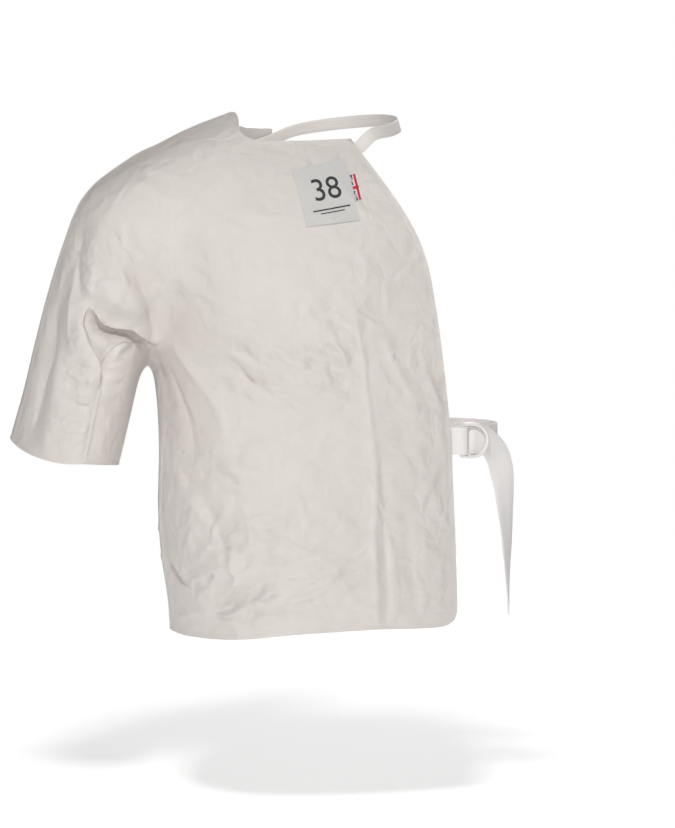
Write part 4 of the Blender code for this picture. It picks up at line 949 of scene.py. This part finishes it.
for vertex in size_mark.data.vertices:
    x = label_middle[0] + math.cos(lean) * vertex.co.x - math.sin(lean) * vertex.co.y
    z = label_middle[1] + math.sin(lean) * vertex.co.x + math.cos(lean) * vertex.co.y
    met = label_face.ray_cast(Vector((x, -0.3, z)), Vector((0, 1, 0)))[0]
    vertex.co = met - Vector((0, 0.00022, 0))
size_mark.data.update()
ink, ink_shader = finish("label_ink", 0.55, 0.0, 0.3)
ink_tone = mixed(noise(on_object(), 400.0), (0.02, 0.02, 0.022, 1), (0.06, 0.06, 0.065, 1))
feed(ink_shader, "Base Color", ink_tone)
walled(size_mark, 0.0002, ink)
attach(size_mark, "root")

FLAG_CORNERS = [(-21.7, -57.7), (-15.9, -56.4), (-13.8, -77.7), (-19.5, -79.4)]
flag = laid_on("flag_tab", "flag_ribbon_tab", 0.0006, 0.0004, 5)
straight_uv(flag, FLAG_CORNERS)
ribbon, ribbon_shader = finish("flag_ribbon", 0.5, 0.2, 0.4)
u, v = on_cut()
RED, WHITE, BLUE = (0.62, 0.03, 0.05, 1), (0.86, 0.84, 0.83, 1), (0.03, 0.05, 0.22, 1)


def band(value, middle, half):
    """1 inside a band of a value, 0 outside it."""
    return (value - (middle - half)).above(0.0) * (1 - (value - (middle + half)).above(0.0))


rise_up, rise_down = v - 0.5 - 0.62 * (0.62 - u), v - 0.5 + 0.62 * (0.62 - u)
colour = mixed(band(rise_up, 0.0, 0.09), BLUE, WHITE)
colour = mixed(band(rise_down, 0.0, 0.09), colour, WHITE)
colour = mixed(band(rise_up, 0.015, 0.03), colour, RED)
colour = mixed(band(rise_down, -0.015, 0.03), colour, RED)
colour = mixed(band(v, 0.5, 0.12), colour, WHITE)
colour = mixed(band(u, 0.72, 0.42), colour, WHITE)
colour = mixed(band(v, 0.5, 0.065), colour, RED)
colour = mixed(band(u, 0.66, 0.2), colour, RED)
colour = mixed((u - 0.92).above(0.0), colour, WHITE)
feed(ribbon_shader, "Base Color", colour)
bumped(ribbon_shader, (v * (2 * math.pi * 30)).sine(), 0.0002, 0.5)
walled(flag, 0.0006, ribbon)
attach(flag, "root")
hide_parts("flag_tab")

# STAGE. A pale floor under a white surround, soft studio light from the left, and the camera.
bpy.ops.object.select_all(action="DESELECT")
bpy.ops.mesh.primitive_plane_add(size=4.2, location=(0, 0, -0.62))
floor = bpy.context.object
floor.name = "studio_floor"
paper, paper_shader = finish("studio_paper", 0.9)
paper_shader.inputs["Base Color"].default_value = (0.9, 0.9, 0.9, 1)
paper_shader.inputs["Emission Color"].default_value = (1, 1, 1, 1)
paper_shader.inputs["Emission Strength"].default_value = 0.36
floor.data.materials.append(paper)

for name, place, size, power in (
    ("key", (-1.1, -2.2, 2.1), 0.45, 56.0),
    ("low", (-1.2, -2.7, 0.05), 0.6, 13.0),
    ("right", (1.9, -2.2, 1.4), 0.6, 4.0),
    ("back_light", (1.6, 2.3, 1.6), 0.9, 52.0),
):
    lamp = bpy.data.lights.new(name, "AREA")
    lamp.size, lamp.energy = size, power
    light = bpy.data.objects.new(name, lamp)
    light.location = place
    light.rotation_euler = (Vector((0, 0, -0.25)) - Vector(place)).to_track_quat("-Z", "Y").to_euler()
    bpy.context.scene.collection.objects.link(light)
world = bpy.data.worlds.new("studio")
world.use_nodes = True
Wire.tree = world.node_tree
surround = world.node_tree.nodes["Background"]
surround.inputs["Color"].default_value = (1, 1, 1, 1)
feed(surround, "Strength", 0.13 + 0.87 * Wire(Wire.node("ShaderNodeLightPath").outputs["Is Camera Ray"]))
bpy.context.scene.world = world
bpy.context.scene.view_settings.view_transform = "Standard"

turn, rise = math.radians(-20), math.radians(3)
aim = Vector((0, 0, -0.27))
away = Vector((math.sin(turn) * math.cos(rise), -math.cos(turn) * math.cos(rise), math.sin(rise)))
lens = bpy.data.cameras.new("photo_angle")
lens.lens = 144.9
camera = bpy.data.objects.new("photo_angle", lens)
camera.location = aim + 3.0 * away
camera.rotation_euler = (-away).to_track_quat("-Z", "Y").to_euler()
bpy.context.scene.collection.objects.link(camera)
bpy.context.scene.camera = camera
